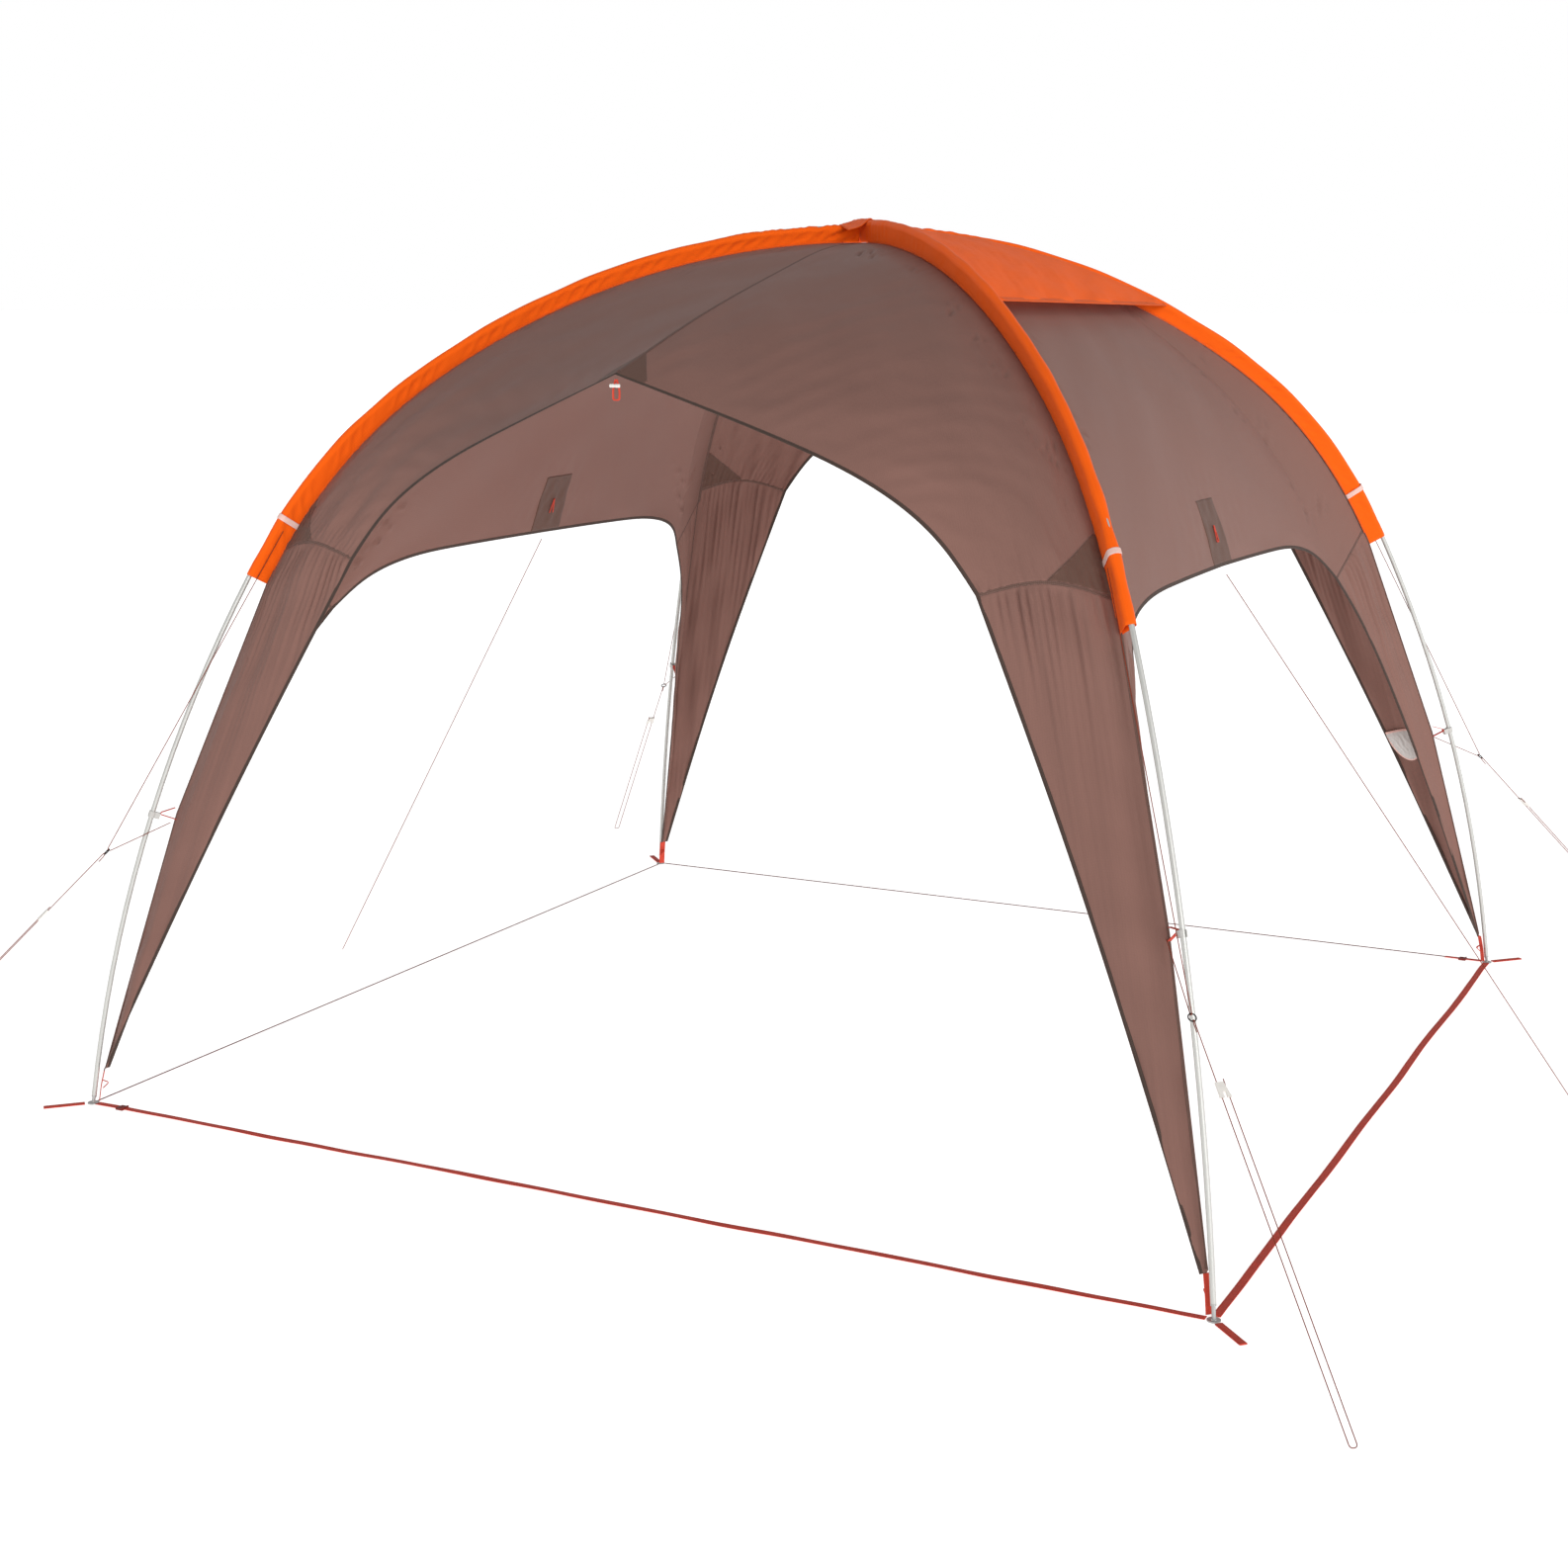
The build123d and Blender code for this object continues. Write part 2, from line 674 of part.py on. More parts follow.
clip_reach, clip_height = arch_point(CLIP_ANGLE)
TAB_INNER = CLIP_CORNER.X * sqrt(2) + 3
TAB_OUTER = clip_reach - CLIP_OUTER / 2 - CLIP_ARM - 1
STRAP_TOP = (LEG_TIP_CORNER.X * sqrt(2) + 2, 88)
STRAP_FOOT = (FOOT_REACH - 18, 8)


def diagonal_plate(corner, outline, thickness):
    """A plate in a corner's diagonal plane from points of reach and height."""
    door_side = at_corner(corner, 0, 0, 1)
    points = [at_corner(corner, reach, height) - door_side * (thickness / 2) for reach, height in outline]
    face = Face(Wire.make_polygon(points, close=True))
    return Solid.extrude(face, door_side * thickness)


with BuildPart() as leg_webbing:
    for corner in CORNERS:
        lift = arch_lift(corner)
        tab_height = clip_height + lift
        tab = [(TAB_INNER, 752), (TAB_INNER, 778), (TAB_OUTER, tab_height + 6), (TAB_OUTER, tab_height - 6)]
        add(diagonal_plate(corner, tab, WEBBING_THICKNESS))
        lean = Vector(STRAP_FOOT[0] - STRAP_TOP[0], 0, STRAP_FOOT[1] - STRAP_TOP[1])
        square = Vector(-lean.Z, 0, lean.X).normalized() * (WEBBING_THICKNESS / 2)
        strap = [
            (STRAP_TOP[0] - square.X, STRAP_TOP[1] - square.Z),
            (STRAP_FOOT[0] - square.X, STRAP_FOOT[1] - square.Z),
            (STRAP_FOOT[0] + square.X, STRAP_FOOT[1] + square.Z),
            (STRAP_TOP[0] + square.X, STRAP_TOP[1] + square.Z),
        ]
        add(diagonal_plate(corner, strap, WEBBING_WIDTH))
finish(leg_webbing.part, "leg_webbing")

# ---------------------------------------------------------- ground level
FOOT = FOOT_REACH / sqrt(2)
GROMMET_OUTER = 30
GROMMET_BORE = 12
GROMMET_THICKNESS = 3

with BuildPart() as foot_grommets:
    for corner in CORNERS:
        place = at_corner(corner, arch_point(angle_at_height(TIP_DIAMETER / 2 - arch_lift(corner)))[0], 0)
        with BuildSketch(Plane.XY):
            with Locations((place.X, place.Y)):
                Circle(GROMMET_OUTER / 2)
                Circle(GROMMET_BORE / 2, mode=Mode.SUBTRACT)
        extrude(amount=GROMMET_THICKNESS)
finish(foot_grommets.part, "foot_grommets")

PERIMETER_END = FOOT - GROMMET_OUTER / 2 - 2
TAIL_LENGTH = 115

with BuildPart() as perimeter_webbing:
    with BuildSketch(Plane.XY.offset(WEBBING_LEVEL)):
        with Locations((0, -FOOT)):
            Rectangle(2 * PERIMETER_END, WEBBING_WIDTH)
        with Locations((FOOT, 0)):
            Rectangle(WEBBING_WIDTH, 2 * PERIMETER_END)
        with Locations((PERIMETER_END - TAIL_LENGTH / 2, FOOT)):
            Rectangle(TAIL_LENGTH, WEBBING_WIDTH)
    extrude(amount=WEBBING_THICKNESS)
finish(perimeter_webbing.part, "perimeter_webbing")


def straight_cord(start, end, diameter):
    """A taut cord: one straight run between two points."""
    with BuildPart() as cord:
        with BuildSketch(Plane(origin=start, z_dir=end - start)):
            Circle(diameter / 2)
        extrude(amount=(end - start).length)
    return cord.part


cord_level = PERIMETER_CORD / 2
left_start = Vector(-FOOT, -PERIMETER_END, cord_level)
left_end = Vector(-FOOT, PERIMETER_END, cord_level)
finish(straight_cord(left_start, left_end, PERIMETER_CORD), "perimeter_cord_left")
rear_start = Vector(-PERIMETER_END, FOOT, WEBBING_LEVEL + cord_level)
rear_end = Vector(PERIMETER_END - TAIL_LENGTH - 0.5, FOOT, WEBBING_LEVEL + cord_level)
finish(straight_cord(rear_start, rear_end, PERIMETER_CORD), "perimeter_cord_rear")

LOCK_LENGTH = 22
LOCK_SLOT = WEBBING_THICKNESS + 0.9
LOCK_WALL = 1.4
LOCK_HALF_WIDTH = WEBBING_WIDTH / 2 + 0.5 + 2.5
lock_level = WEBBING_LEVEL + WEBBING_THICKNESS / 2


def ladder_lock(place, label):
    """A flat slider round the webbing, with a grip lip on top."""
    with BuildPart() as lock:
        with Locations(place):
            Box(LOCK_LENGTH, 2 * LOCK_HALF_WIDTH, LOCK_SLOT + 2 * LOCK_WALL)
            Box(LOCK_LENGTH + 1, WEBBING_WIDTH + 1, LOCK_SLOT, mode=Mode.SUBTRACT)
        with Locations(place + Vector(LOCK_LENGTH / 2 - 2, 0, LOCK_SLOT / 2 + LOCK_WALL + 1)):
            Box(4, 2 * LOCK_HALF_WIDTH, 2)
        with Locations(place + Vector(-2, 0, LOCK_SLOT)):
            Box(6, WEBBING_WIDTH - 4, 2 * LOCK_SLOT, mode=Mode.SUBTRACT)
    finish(lock.part, label)


ladder_lock(Vector(-FOOT + 100, -FOOT, lock_level), "ladder_lock_front")
ladder_lock(Vector(PERIMETER_END - 60, FOOT, lock_level), "ladder_lock_rear")

LOOP_LENGTH = 104
LOOP_WIDTH = 18
LOOP_LAYER = 1.4
LOOP_GAP = 1

for corner in CORNERS:
    start = FOOT_REACH + GROMMET_OUTER / 2 + 6
    upper = LOOP_LAYER * 2 + LOOP_GAP + 0.3
    end = start + LOOP_LENGTH
    lower_face = [(start, 0.3), (end, 0.3), (end + 1.5, upper / 2 + 0.15), (end, upper), (start, upper)]
    hollow = [(start - 1, 0.3 + LOOP_LAYER), (end - 1.4, 0.3 + LOOP_LAYER)]
    hollow += [(end - 1.4, upper - LOOP_LAYER), (start - 1, upper - LOOP_LAYER)]
    with BuildPart() as stake_loop:
        add(diagonal_plate(corner, lower_face, LOOP_WIDTH))
        add(diagonal_plate(corner, hollow, LOOP_WIDTH + 2), mode=Mode.SUBTRACT)
        stitch = [(start, 0.3), (start + 16, 0.3), (start + 16, upper), (start, upper)]
        add(diagonal_plate(corner, stitch, LOOP_WIDTH))
    finish(stake_loop.part, f"stake_loop_{corner}")


# -------------------------------------------------------------- guylines
# For each corner: the ring's reach and height, the stake's reach, how far both lie
# towards the door, and how far the line-lok lies from the ring.
GUY_SETTINGS = dict.fromkeys(CORNERS, (2075, 683, 2775, 0, 210))
GUY_SETTINGS["front_right"] = (2075, 631, 2729, 36, 151)
RING_RADIUS = 9
RING_WIRE = 1.5
GUY_BIGHT = 8.5
BEND_RADIUS = 3
LOK_LENGTH = 36
LOK_THICKNESS = 5.4
LOK_HOLE = GUY_CORD + 0.9


def guy_line_of(corner):
    """A corner's ring, its stake point, and the unit direction between them."""
    reach, height, stake_reach, aside, lok_distance = GUY_SETTINGS[corner]
    ring = at_corner(corner, reach, height + arch_lift(corner), aside)
    ground = at_corner(corner, stake_reach, GUY_CORD / 2 + 0.2, aside)
    return ring, ground, (ground - ring).normalized()


def cord_tube(points, radii, diameter, label):
    """A cord as straight runs joined by tangent arcs, with its volume checked by its length."""
    with BuildPart() as cord:
        with BuildLine() as route:
            if radii:
                FilletPolyline(*points, radius=radii)
            else:
                Line(*points)
        with BuildSketch(Plane(origin=route.line @ 0, z_dir=route.line % 0)):
            Circle(diameter / 2)
        sweep(path=route.line)
    length = sum(edge.length for edge in route.edges())
    share = cord.part.volume / (pi * diameter**2 / 4 * length)
    print(f"{label}: {length:.0f} mm, radii {radii}, volume share {share:.3f}")
    return cord.part


for corner in CORNERS:
    lift = arch_lift(corner)
    ring, ground, pull = guy_line_of(corner)
    door = at_corner(corner, 0, 0, 1)
    square = (Vector(0, 0, 1) - pull * pull.Z).normalized()
    strap_end = at_corner(corner, 1592, 1500 + lift, 17)
    tab_end = at_corner(corner, 1912, 752 + lift, 14)

    # The bridle runs from the sleeve strap, round the ring, to the clip tab.
    inner_wire = ring - pull * RING_RADIUS
    bend = inner_wire + pull * BEND_RADIUS
    half = square * (BEND_RADIUS + 0.4)
    bridle_points = [strap_end, bend + half, bend - half, tab_end]
    bridle = cord_tube(bridle_points, [BEND_RADIUS, BEND_RADIUS], GUY_CORD, f"bridle_{corner}")
    finish(bridle, f"bridle_{corner}")

    # The guyline: a small loop round the ring, down to the stake, and back to the line-lok.
    outer_wire = ring + pull * RING_RADIUS
    loop_turn = outer_wire - pull * BEND_RADIUS
    side = square * BEND_RADIUS
    knot = outer_wire + pull * 24
    end_turn = ground - door * (2 * GUY_BIGHT)
    lok_top = ring + pull * GUY_SETTINGS[corner][4]
    guyline = cord_tube(
        [
            knot - side,
            loop_turn - side,
            loop_turn + side,
            ground + side,
            end_turn + side,
            lok_top + side - door * (2 * GUY_BIGHT) - pull * 6,
        ],
        [BEND_RADIUS - 0.1, BEND_RADIUS - 0.1, GUY_BIGHT - 0.1, GUY_BIGHT - 0.1],
        GUY_CORD,
        f"guyline_{corner}",
    )
    finish(guyline, f"guyline_{corner}")

    # The line-lok: a tapering plate with a hole for each strand.
    lok_plane = Plane(origin=lok_top + side, x_dir=door, z_dir=pull)
    with BuildPart() as line_lok:
        with BuildSketch(lok_plane.offset(1)):
            with Locations((-5, 0)):
                RectangleRounded(20, LOK_THICKNESS, 2)
        with BuildSketch(lok_plane.offset(LOK_LENGTH)):
            with Locations((-GUY_BIGHT, 0)):
                RectangleRounded(28, LOK_THICKNESS, 2)
        loft()
        with BuildSketch(lok_plane.offset(-1)):
            with Locations((0, 0), (-2 * GUY_BIGHT, 0)):
                Circle(LOK_HOLE / 2)
        extrude(amount=LOK_LENGTH + 4, mode=Mode.SUBTRACT)
        with BuildSketch(lok_plane.offset(LOK_LENGTH * 0.62)):
            with Locations((-GUY_BIGHT, 0)):
                Rectangle(7, 2 * LOK_THICKNESS)
        extrude(amount=LOK_LENGTH / 2, mode=Mode.SUBTRACT)
    finish(line_lok.part, f"line_lok_{corner}")

with BuildPart() as guy_rings:
    for corner in CORNERS:
        ring, ground, pull = guy_line_of(corner)
        door = at_corner(corner, 0, 0, 1)
        add(Solid.make_torus(RING_RADIUS, RING_WIRE, Plane(origin=ring, x_dir=pull, z_dir=pull.cross(door))))
finish(guy_rings.part, "guy_rings")

# Side guylines run from the middle of each low hem to the ground.
SIDE_GUY_TOP = (1052, 1376)
SIDE_GUY_GROUND = {"left": 1850, "right": 2060}

for side, sign in (("left", -1), ("right", 1)):
    top = Vector(sign * SIDE_GUY_TOP[0], 0, SIDE_GUY_TOP[1])
    bottom = Vector(sign * SIDE_GUY_GROUND[side], 0, GUY_CORD)
    finish(cord_tube([top, bottom], None, GUY_CORD, f"side_guyline_{side}"), f"side_guyline_{side}")

# ------------------------------------------- toggles, pull tabs, pocket
TOGGLE_TOP = DOOR_PEAK.Z - 10

for name, y_sign in (("front", -1), ("rear", 1)):
    y = y_sign * (DOOR_PEAK.Y - 4)
    with BuildPart() as peak_toggle:
        with Locations((0, y, TOGGLE_TOP - 24)):
            Box(12, 2, 44)
        with BuildSketch(Plane.YZ.offset(-13)):
            with Locations((y + y_sign * 6.5, TOGGLE_TOP - 16)):
                Circle(4.5)
        extrude(amount=26)
        with Locations((0, y, TOGGLE_TOP - 34)):
            Box(5, 6, 14, mode=Mode.SUBTRACT)
        fillet(peak_toggle.edges().filter_by(GeomType.CIRCLE), 1.2)
    finish(peak_toggle.part, f"peak_toggle_{name}")

# The pull tabs lie on the outer face of the low side's hem patch.
TAB_LENGTH = 46
TAB_THICKNESS = 2
TAB_STANDOFF = 4
panel_middle = [row[0] for row in side_grid([0.5], spread(40, 0.6, 0.97))]
tab_top = min(panel_middle, key=lambda place: abs(place.Z - 1500))
tab_low = min(panel_middle, key=lambda place: abs((place - tab_top).length - TAB_LENGTH) + place.Z / 100)

for side, sign in (("left", -1), ("right", 1)):
    hang = Vector(sign * tab_top.X, 0, tab_top.Z)
    fall = (Vector(sign * tab_low.X, 0, tab_low.Z) - hang).normalized()
    face_out = Vector(-fall.Z * sign, 0, fall.X * sign).normalized()
    start = hang + face_out * TAB_STANDOFF
    end = start + fall * TAB_LENGTH
    outline = [start + Vector(0, y, 0) for y in (-4, 4)] + [end + Vector(0, y, 0) for y in (11, -11)]
    with BuildPart() as pull_tab:
        add(Solid.extrude(Face(Wire.make_polygon(outline, close=True)), face_out * TAB_THICKNESS))
    finish(pull_tab.part, f"pull_tab_{side}")
    print(f"pull tab {side}: top {start}, way out {face_out}")

POCKET_SHARE = 0.52
pocket_rows = patch(*door_leg_edges, spread(4, 0.35, 0.97), spread(5, POCKET_SHARE, POCKET_SHARE + 0.07))
with BuildPart() as mesh_pocket:
    add(sheet(moved_off(turned_grid(pocket_rows, "rear_right"), 6), 3))
finish(mesh_pocket.part, "mesh_pocket")
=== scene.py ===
from math import asin, cos, pi, radians, sin, sqrt

import bmesh
import bpy
import numpy as np
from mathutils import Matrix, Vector


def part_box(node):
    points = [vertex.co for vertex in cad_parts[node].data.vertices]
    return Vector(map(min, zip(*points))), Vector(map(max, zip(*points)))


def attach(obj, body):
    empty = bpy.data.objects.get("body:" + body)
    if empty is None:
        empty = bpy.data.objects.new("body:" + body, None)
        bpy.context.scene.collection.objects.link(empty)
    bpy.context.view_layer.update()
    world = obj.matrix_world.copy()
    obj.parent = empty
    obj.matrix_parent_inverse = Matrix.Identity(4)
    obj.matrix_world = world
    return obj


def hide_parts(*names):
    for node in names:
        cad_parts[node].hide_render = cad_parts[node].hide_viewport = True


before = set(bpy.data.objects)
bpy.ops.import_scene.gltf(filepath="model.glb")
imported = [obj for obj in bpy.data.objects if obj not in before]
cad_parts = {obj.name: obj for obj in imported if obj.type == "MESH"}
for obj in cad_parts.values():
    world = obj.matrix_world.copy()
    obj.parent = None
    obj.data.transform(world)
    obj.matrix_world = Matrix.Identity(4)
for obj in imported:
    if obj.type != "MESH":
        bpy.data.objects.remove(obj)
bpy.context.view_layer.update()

# Everything is in metres, in the CAD's frame: the origin is on the ground under
# the crown, the doors face -Y and +Y, and the low sides face -X and +X.

def added(name, data):
    """A new object in the scene."""
    piece = bpy.data.objects.new(name, data)
    bpy.context.scene.collection.objects.link(piece)
    return piece


# ---- camera
CAMERA_PLACE = (2.7716, -6.0153, 2.0719)
CAMERA_AZIMUTH = radians(26.587)
CAMERA_DROP = radians(11.53)
CAMERA_LENS = 54.24

camera_data = bpy.data.cameras.new("camera")
camera_data.lens = CAMERA_LENS
camera_data.sensor_width = 36
camera = added("camera", camera_data)
camera.location = CAMERA_PLACE
level = cos(CAMERA_DROP)
look = Vector((-sin(CAMERA_AZIMUTH) * level, cos(CAMERA_AZIMUTH) * level, -sin(CAMERA_DROP)))
camera.rotation_euler = look.to_track_quat("-Z", "Y").to_euler()
bpy.context.scene.camera = camera

# ---- the arches' geometry
CROWN_HEIGHT = 2.277
CROWN_RADIUS = 2.176
SHOULDER_RADIUS = 1.370
LEG_RADIUS = 4.024
CROWN_END = radians(34.66)
SHOULDER_END = radians(59.82)
CROSSING_LIFT = 0.007
SEAM_INSET_CROWN = 0.046
SEAM_INSET_LEG = 0.052
SLEEVE_END = radians(60.9)
CORNERS = {
    "front_left": (-1, -1),
    "front_right": (1, -1),
    "rear_right": (1, 1),
    "rear_left": (-1, 1),
}
LIFTED = ("front_right", "rear_left")
SIDES = (("left", -1), ("right", 1))
DOORS = (("front", -1), ("rear", 1))
BODY = "shelter"


def arch_point(angle, inset=0.0):
    """Distance from the crown's axis and height of a pole, at an angle from straight up."""
    out, up, radius = 0, CROWN_HEIGHT - CROWN_RADIUS, CROWN_RADIUS
    if angle > CROWN_END:
        out += (CROWN_RADIUS - SHOULDER_RADIUS) * sin(CROWN_END)
        up += (CROWN_RADIUS - SHOULDER_RADIUS) * cos(CROWN_END)
        radius = SHOULDER_RADIUS
    if angle > SHOULDER_END:
        out += (SHOULDER_RADIUS - LEG_RADIUS) * sin(SHOULDER_END)
        up += (SHOULDER_RADIUS - LEG_RADIUS) * cos(SHOULDER_END)
        radius = LEG_RADIUS
    return out + (radius - inset) * sin(angle), up + (radius - inset) * cos(angle)


def solved(passed):
    """The arch angle at which a test along the arch turns true."""
    low, high = 0.0, 1.6
    for _ in range(40):
        middle = (low + high) / 2
        if passed(middle):
            high = middle
        else:
            low = middle
    return low


def seam_inset(angle):
    """How far a sleeve's sewn seam lies inside its pole's centre line."""
    share = min(max((angle - radians(30)) / radians(27), 0), 1)
    return SEAM_INSET_CROWN + (SEAM_INSET_LEG - SEAM_INSET_CROWN) * share * share * (3 - 2 * share)


def arch_lift(corner):
    """The arches cross at the crown, one just above the other."""
    return CROSSING_LIFT if corner in LIFTED else -CROSSING_LIFT


def at_corner(corner, reach, height, aside=0.0):
    """A point in a corner's diagonal plane; aside is towards the nearer door."""
    x_sign, y_sign = CORNERS[corner]
    return Vector((x_sign * (reach - aside), y_sign * (reach + aside), height * sqrt(2))) / sqrt(2)


# ---- cords
GUY_CORD = 0.0022
PERIMETER_CORD = 0.003
RING_RADIUS = 0.009
# For each corner: the ring's reach and height, the stake's reach, how far both lie
# towards the door, how far the line-lok lies from the ring, and the cords' lengths.
GUY_SETTINGS = {
    "front_left": (2.075, 0.683, 2.775, 0, 0.210, 1.119, 1.775),
    "front_right": (2.075, 0.631, 2.729, 0.036, 0.151, 1.191, 1.715),
    "rear_right": (2.075, 0.683, 2.775, 0, 0.210, 1.119, 1.775),
    "rear_left": (2.075, 0.683, 2.775, 0, 0.210, 1.119, 1.794),
}
GUY_BIGHT = 0.0085
BEND = 0.003
LIFT_OFF_GROUND = 0.0002
TURN_LEAD = 0.013
# A bridle's ends, as reach, height and distance towards the door.
BRIDLE_TOP = (1.592, 1.500, 0.017)
BRIDLE_LOW = (1.912, 0.752, 0.014)


def rope(name, points, diameter):
    """A cord as a smooth line pulled towards its points."""
    curve = bpy.data.curves.new(name, "CURVE")
    curve.dimensions = "3D"
    spline = curve.splines.new("NURBS")
    spline.points.add(len(points) - 1)
    for spline_point, place in zip(spline.points, points):
        spline_point.co = (*place, 1)
    spline.order_u = 3
    spline.use_endpoint_u = True
    curve.resolution_u = 10
    curve.bevel_depth = diameter / 2
    curve.bevel_resolution = 3
    return added(name, curve)


def part_way(start, end, distance):
    """A point on the way from start to end, that distance from the start."""
    return start + (end - start).normalized() * distance


def guy_line_of(corner):
    """A corner's ring, its stake point, and the unit direction between them."""
    reach, height, stake_reach, aside = GUY_SETTINGS[corner][:4]
    ring = at_corner(corner, reach, height + arch_lift(corner), aside)
    ground = at_corner(corner, stake_reach, GUY_CORD / 2 + LIFT_OFF_GROUND, aside)
    return ring, ground, (ground - ring).normalized()


cords = {}
for corner in CORNERS:
    ring, ground, pull = guy_line_of(corner)
    lok_distance, bridle_length, guyline_length = GUY_SETTINGS[corner][4:]
    door = at_corner(corner, 0, 0, 1)
    square = (Vector((0, 0, 1)) - pull * pull.z).normalized()
    strap_end, tab_end = (
        at_corner(corner, reach, height + arch_lift(corner), aside)
        for reach, height, aside in (BRIDLE_TOP, BRIDLE_LOW)
    )
    bend = ring - pull * (RING_RADIUS - BEND)
    half = square * (BEND + 0.0004)
    points = [strap_end, part_way(bend + half, strap_end, TURN_LEAD), bend + half]
    points += [bend - half, part_way(bend - half, tab_end, TURN_LEAD), tab_end]
    cords[f"bridle_{corner}"] = (points, bridle_length)

    outer_wire = ring + pull * RING_RADIUS
    side = square * BEND
    turn = outer_wire - pull * BEND
    end_turn = ground - door * (2 * GUY_BIGHT)
    lok_top = ring + pull * lok_distance
    strand_end = lok_top + side - door * (2 * GUY_BIGHT) - pull * 0.006
    points = [outer_wire + pull * 0.024 - side, turn - side, turn + side]
    points.append(part_way(turn + side, ground + side, TURN_LEAD))
    points.append(part_way(ground + side, turn + side, 2 * GUY_BIGHT))
    points += [ground + side, end_turn + side]
    points += [part_way(end_turn + side, strand_end, 2 * GUY_BIGHT), strand_end]
    cords[f"guyline_{corner}"] = (points, guyline_length)

HEM_TOP = (1.052, 1.376)
SIDE_GUY_GROUND = {"left": 1.850, "right": 2.060}
for side, sign in SIDES:
    top = Vector((sign * HEM_TOP[0], 0, HEM_TOP[1]))
    bottom = Vector((sign * SIDE_GUY_GROUND[side], 0, GUY_CORD))
    middle = part_way(top, bottom, (bottom - top).length / 2)
    cords[f"side_guyline_{side}"] = ([top, middle, bottom], (bottom - top).length)

for side in ("left", "rear"):
    low, high = (Vector(corner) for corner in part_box(f"perimeter_cord_{side}"))
    centre = (low + high) / 2
    axis = Vector((0, 1, 0)) if side == "left" else Vector((1, 0, 0))
    reach = (high - low).dot(axis) / 2
    ends = [centre - axis * reach, centre, centre + axis * reach]
    cords[f"perimeter_cord_{side}"] = (ends, 2 * reach)


# ---- materials
def colour_of(red, green, blue):
    """A linear colour from a picture's 0 to 255 values."""
    return tuple(((value / 255 + 0.055) / 1.055) ** 2.4 for value in (red, green, blue)) + (1,)


def scaled(colour, factor):
    """A darker or lighter shade of a colour."""
    return tuple(channel * factor for channel in colour[:3]) + (1,)


WAVES_IN_A_METRE = 0.3142
DULL = 0.15


class Paint:
    """A material and short calls to wire its nodes."""

    def __init__(self, name, roughness, metallic=0.0, sheen=0.0):
        self.material = bpy.data.materials.new(name)
        self.material.use_nodes = True
        self.tree = self.material.node_tree
        self.shader = self.tree.nodes["Principled BSDF"]
        self.set("Roughness", roughness)
        self.set("Metallic", metallic)
        self.set("Sheen Weight", sheen)
        self.set("Specular IOR Level", DULL)
        place = self.tree.nodes.new("ShaderNodeTexCoord")
        self.flat, self.where = place.outputs["UV"], place.outputs["Object"]

    def set(self, name, value):
        self.shader.inputs[name].default_value = value

    def node(self, kind, inputs=(), **settings):
        """A node with settings, and inputs by name, from a value or another node's output."""
        made = self.tree.nodes.new(kind)
        for key, value in settings.items():
            setattr(made, key, value)
        for key, value in dict(inputs).items():
            if isinstance(value, bpy.types.NodeSocket):
                self.tree.links.new(value, made.inputs[key])
            else:
                made.inputs[key].default_value = value
        return made

    def math(self, operation, first, second=0.0):
        """One arithmetic step."""
        return self.node("ShaderNodeMath", {0: first, 1: second}, operation=operation).outputs[0]

    def times(self, first, second):
        return self.math("MULTIPLY", first, second)

    def plus(self, first, second):
        return self.math("ADD", first, second)

    def noise(self, coordinates, scale, detail, stretch=None):
        """Noise from 0 to 1, drawn out where stretch says."""
        if stretch:
            mapping = self.node("ShaderNodeMapping", {"Vector": coordinates, "Scale": stretch})
            coordinates = mapping.outputs[0]
        inputs = {"Vector": coordinates, "Scale": scale, "Detail": detail}
        return self.node("ShaderNodeTexNoise", inputs).outputs[0]

    def stripes(self, coordinates, period, direction):
        """Smooth stripes from 0 to 1 along one axis, with a period in metres."""
        inputs = {"Vector": coordinates, "Scale": WAVES_IN_A_METRE / period}
        return self.node("ShaderNodeTexWave", inputs, bands_direction=direction).outputs[1]

    def mixed(self, factor, first, second):
        """Two colours mixed by a factor."""
        mix = self.node("ShaderNodeMix", data_type="RGBA")
        for socket, value in ((0, factor), (6, first), (7, second)):
            if isinstance(value, bpy.types.NodeSocket):
                self.tree.links.new(value, mix.inputs[socket])
            else:
                mix.inputs[socket].default_value = value
        return mix.outputs[2]

    def shades(self, factor, colour, first, second):
        """Two shades of one colour mixed by a factor."""
        return self.mixed(factor, scaled(colour, first), scaled(colour, second))

    def colour(self, output):
        self.tree.links.new(output, self.shader.inputs["Base Color"])

    def roughness(self, output, low, high):
        """A 0 to 1 value spread from low to high."""
        spread = self.node("ShaderNodeMapRange", {0: output, 3: low, 4: high}).outputs[0]
        self.tree.links.new(spread, self.shader.inputs["Roughness"])

    def bump(self, height, distance, strength):
        inputs = {"Height": height, "Distance": distance, "Strength": strength}
        bump = self.node("ShaderNodeBump", inputs)
        self.tree.links.new(bump.outputs[0], self.shader.inputs["Normal"])


WEAVE_THREAD = 0.0008
RIPSTOP_GRID = 0.006
RIPSTOP_SHARPNESS = 14.0


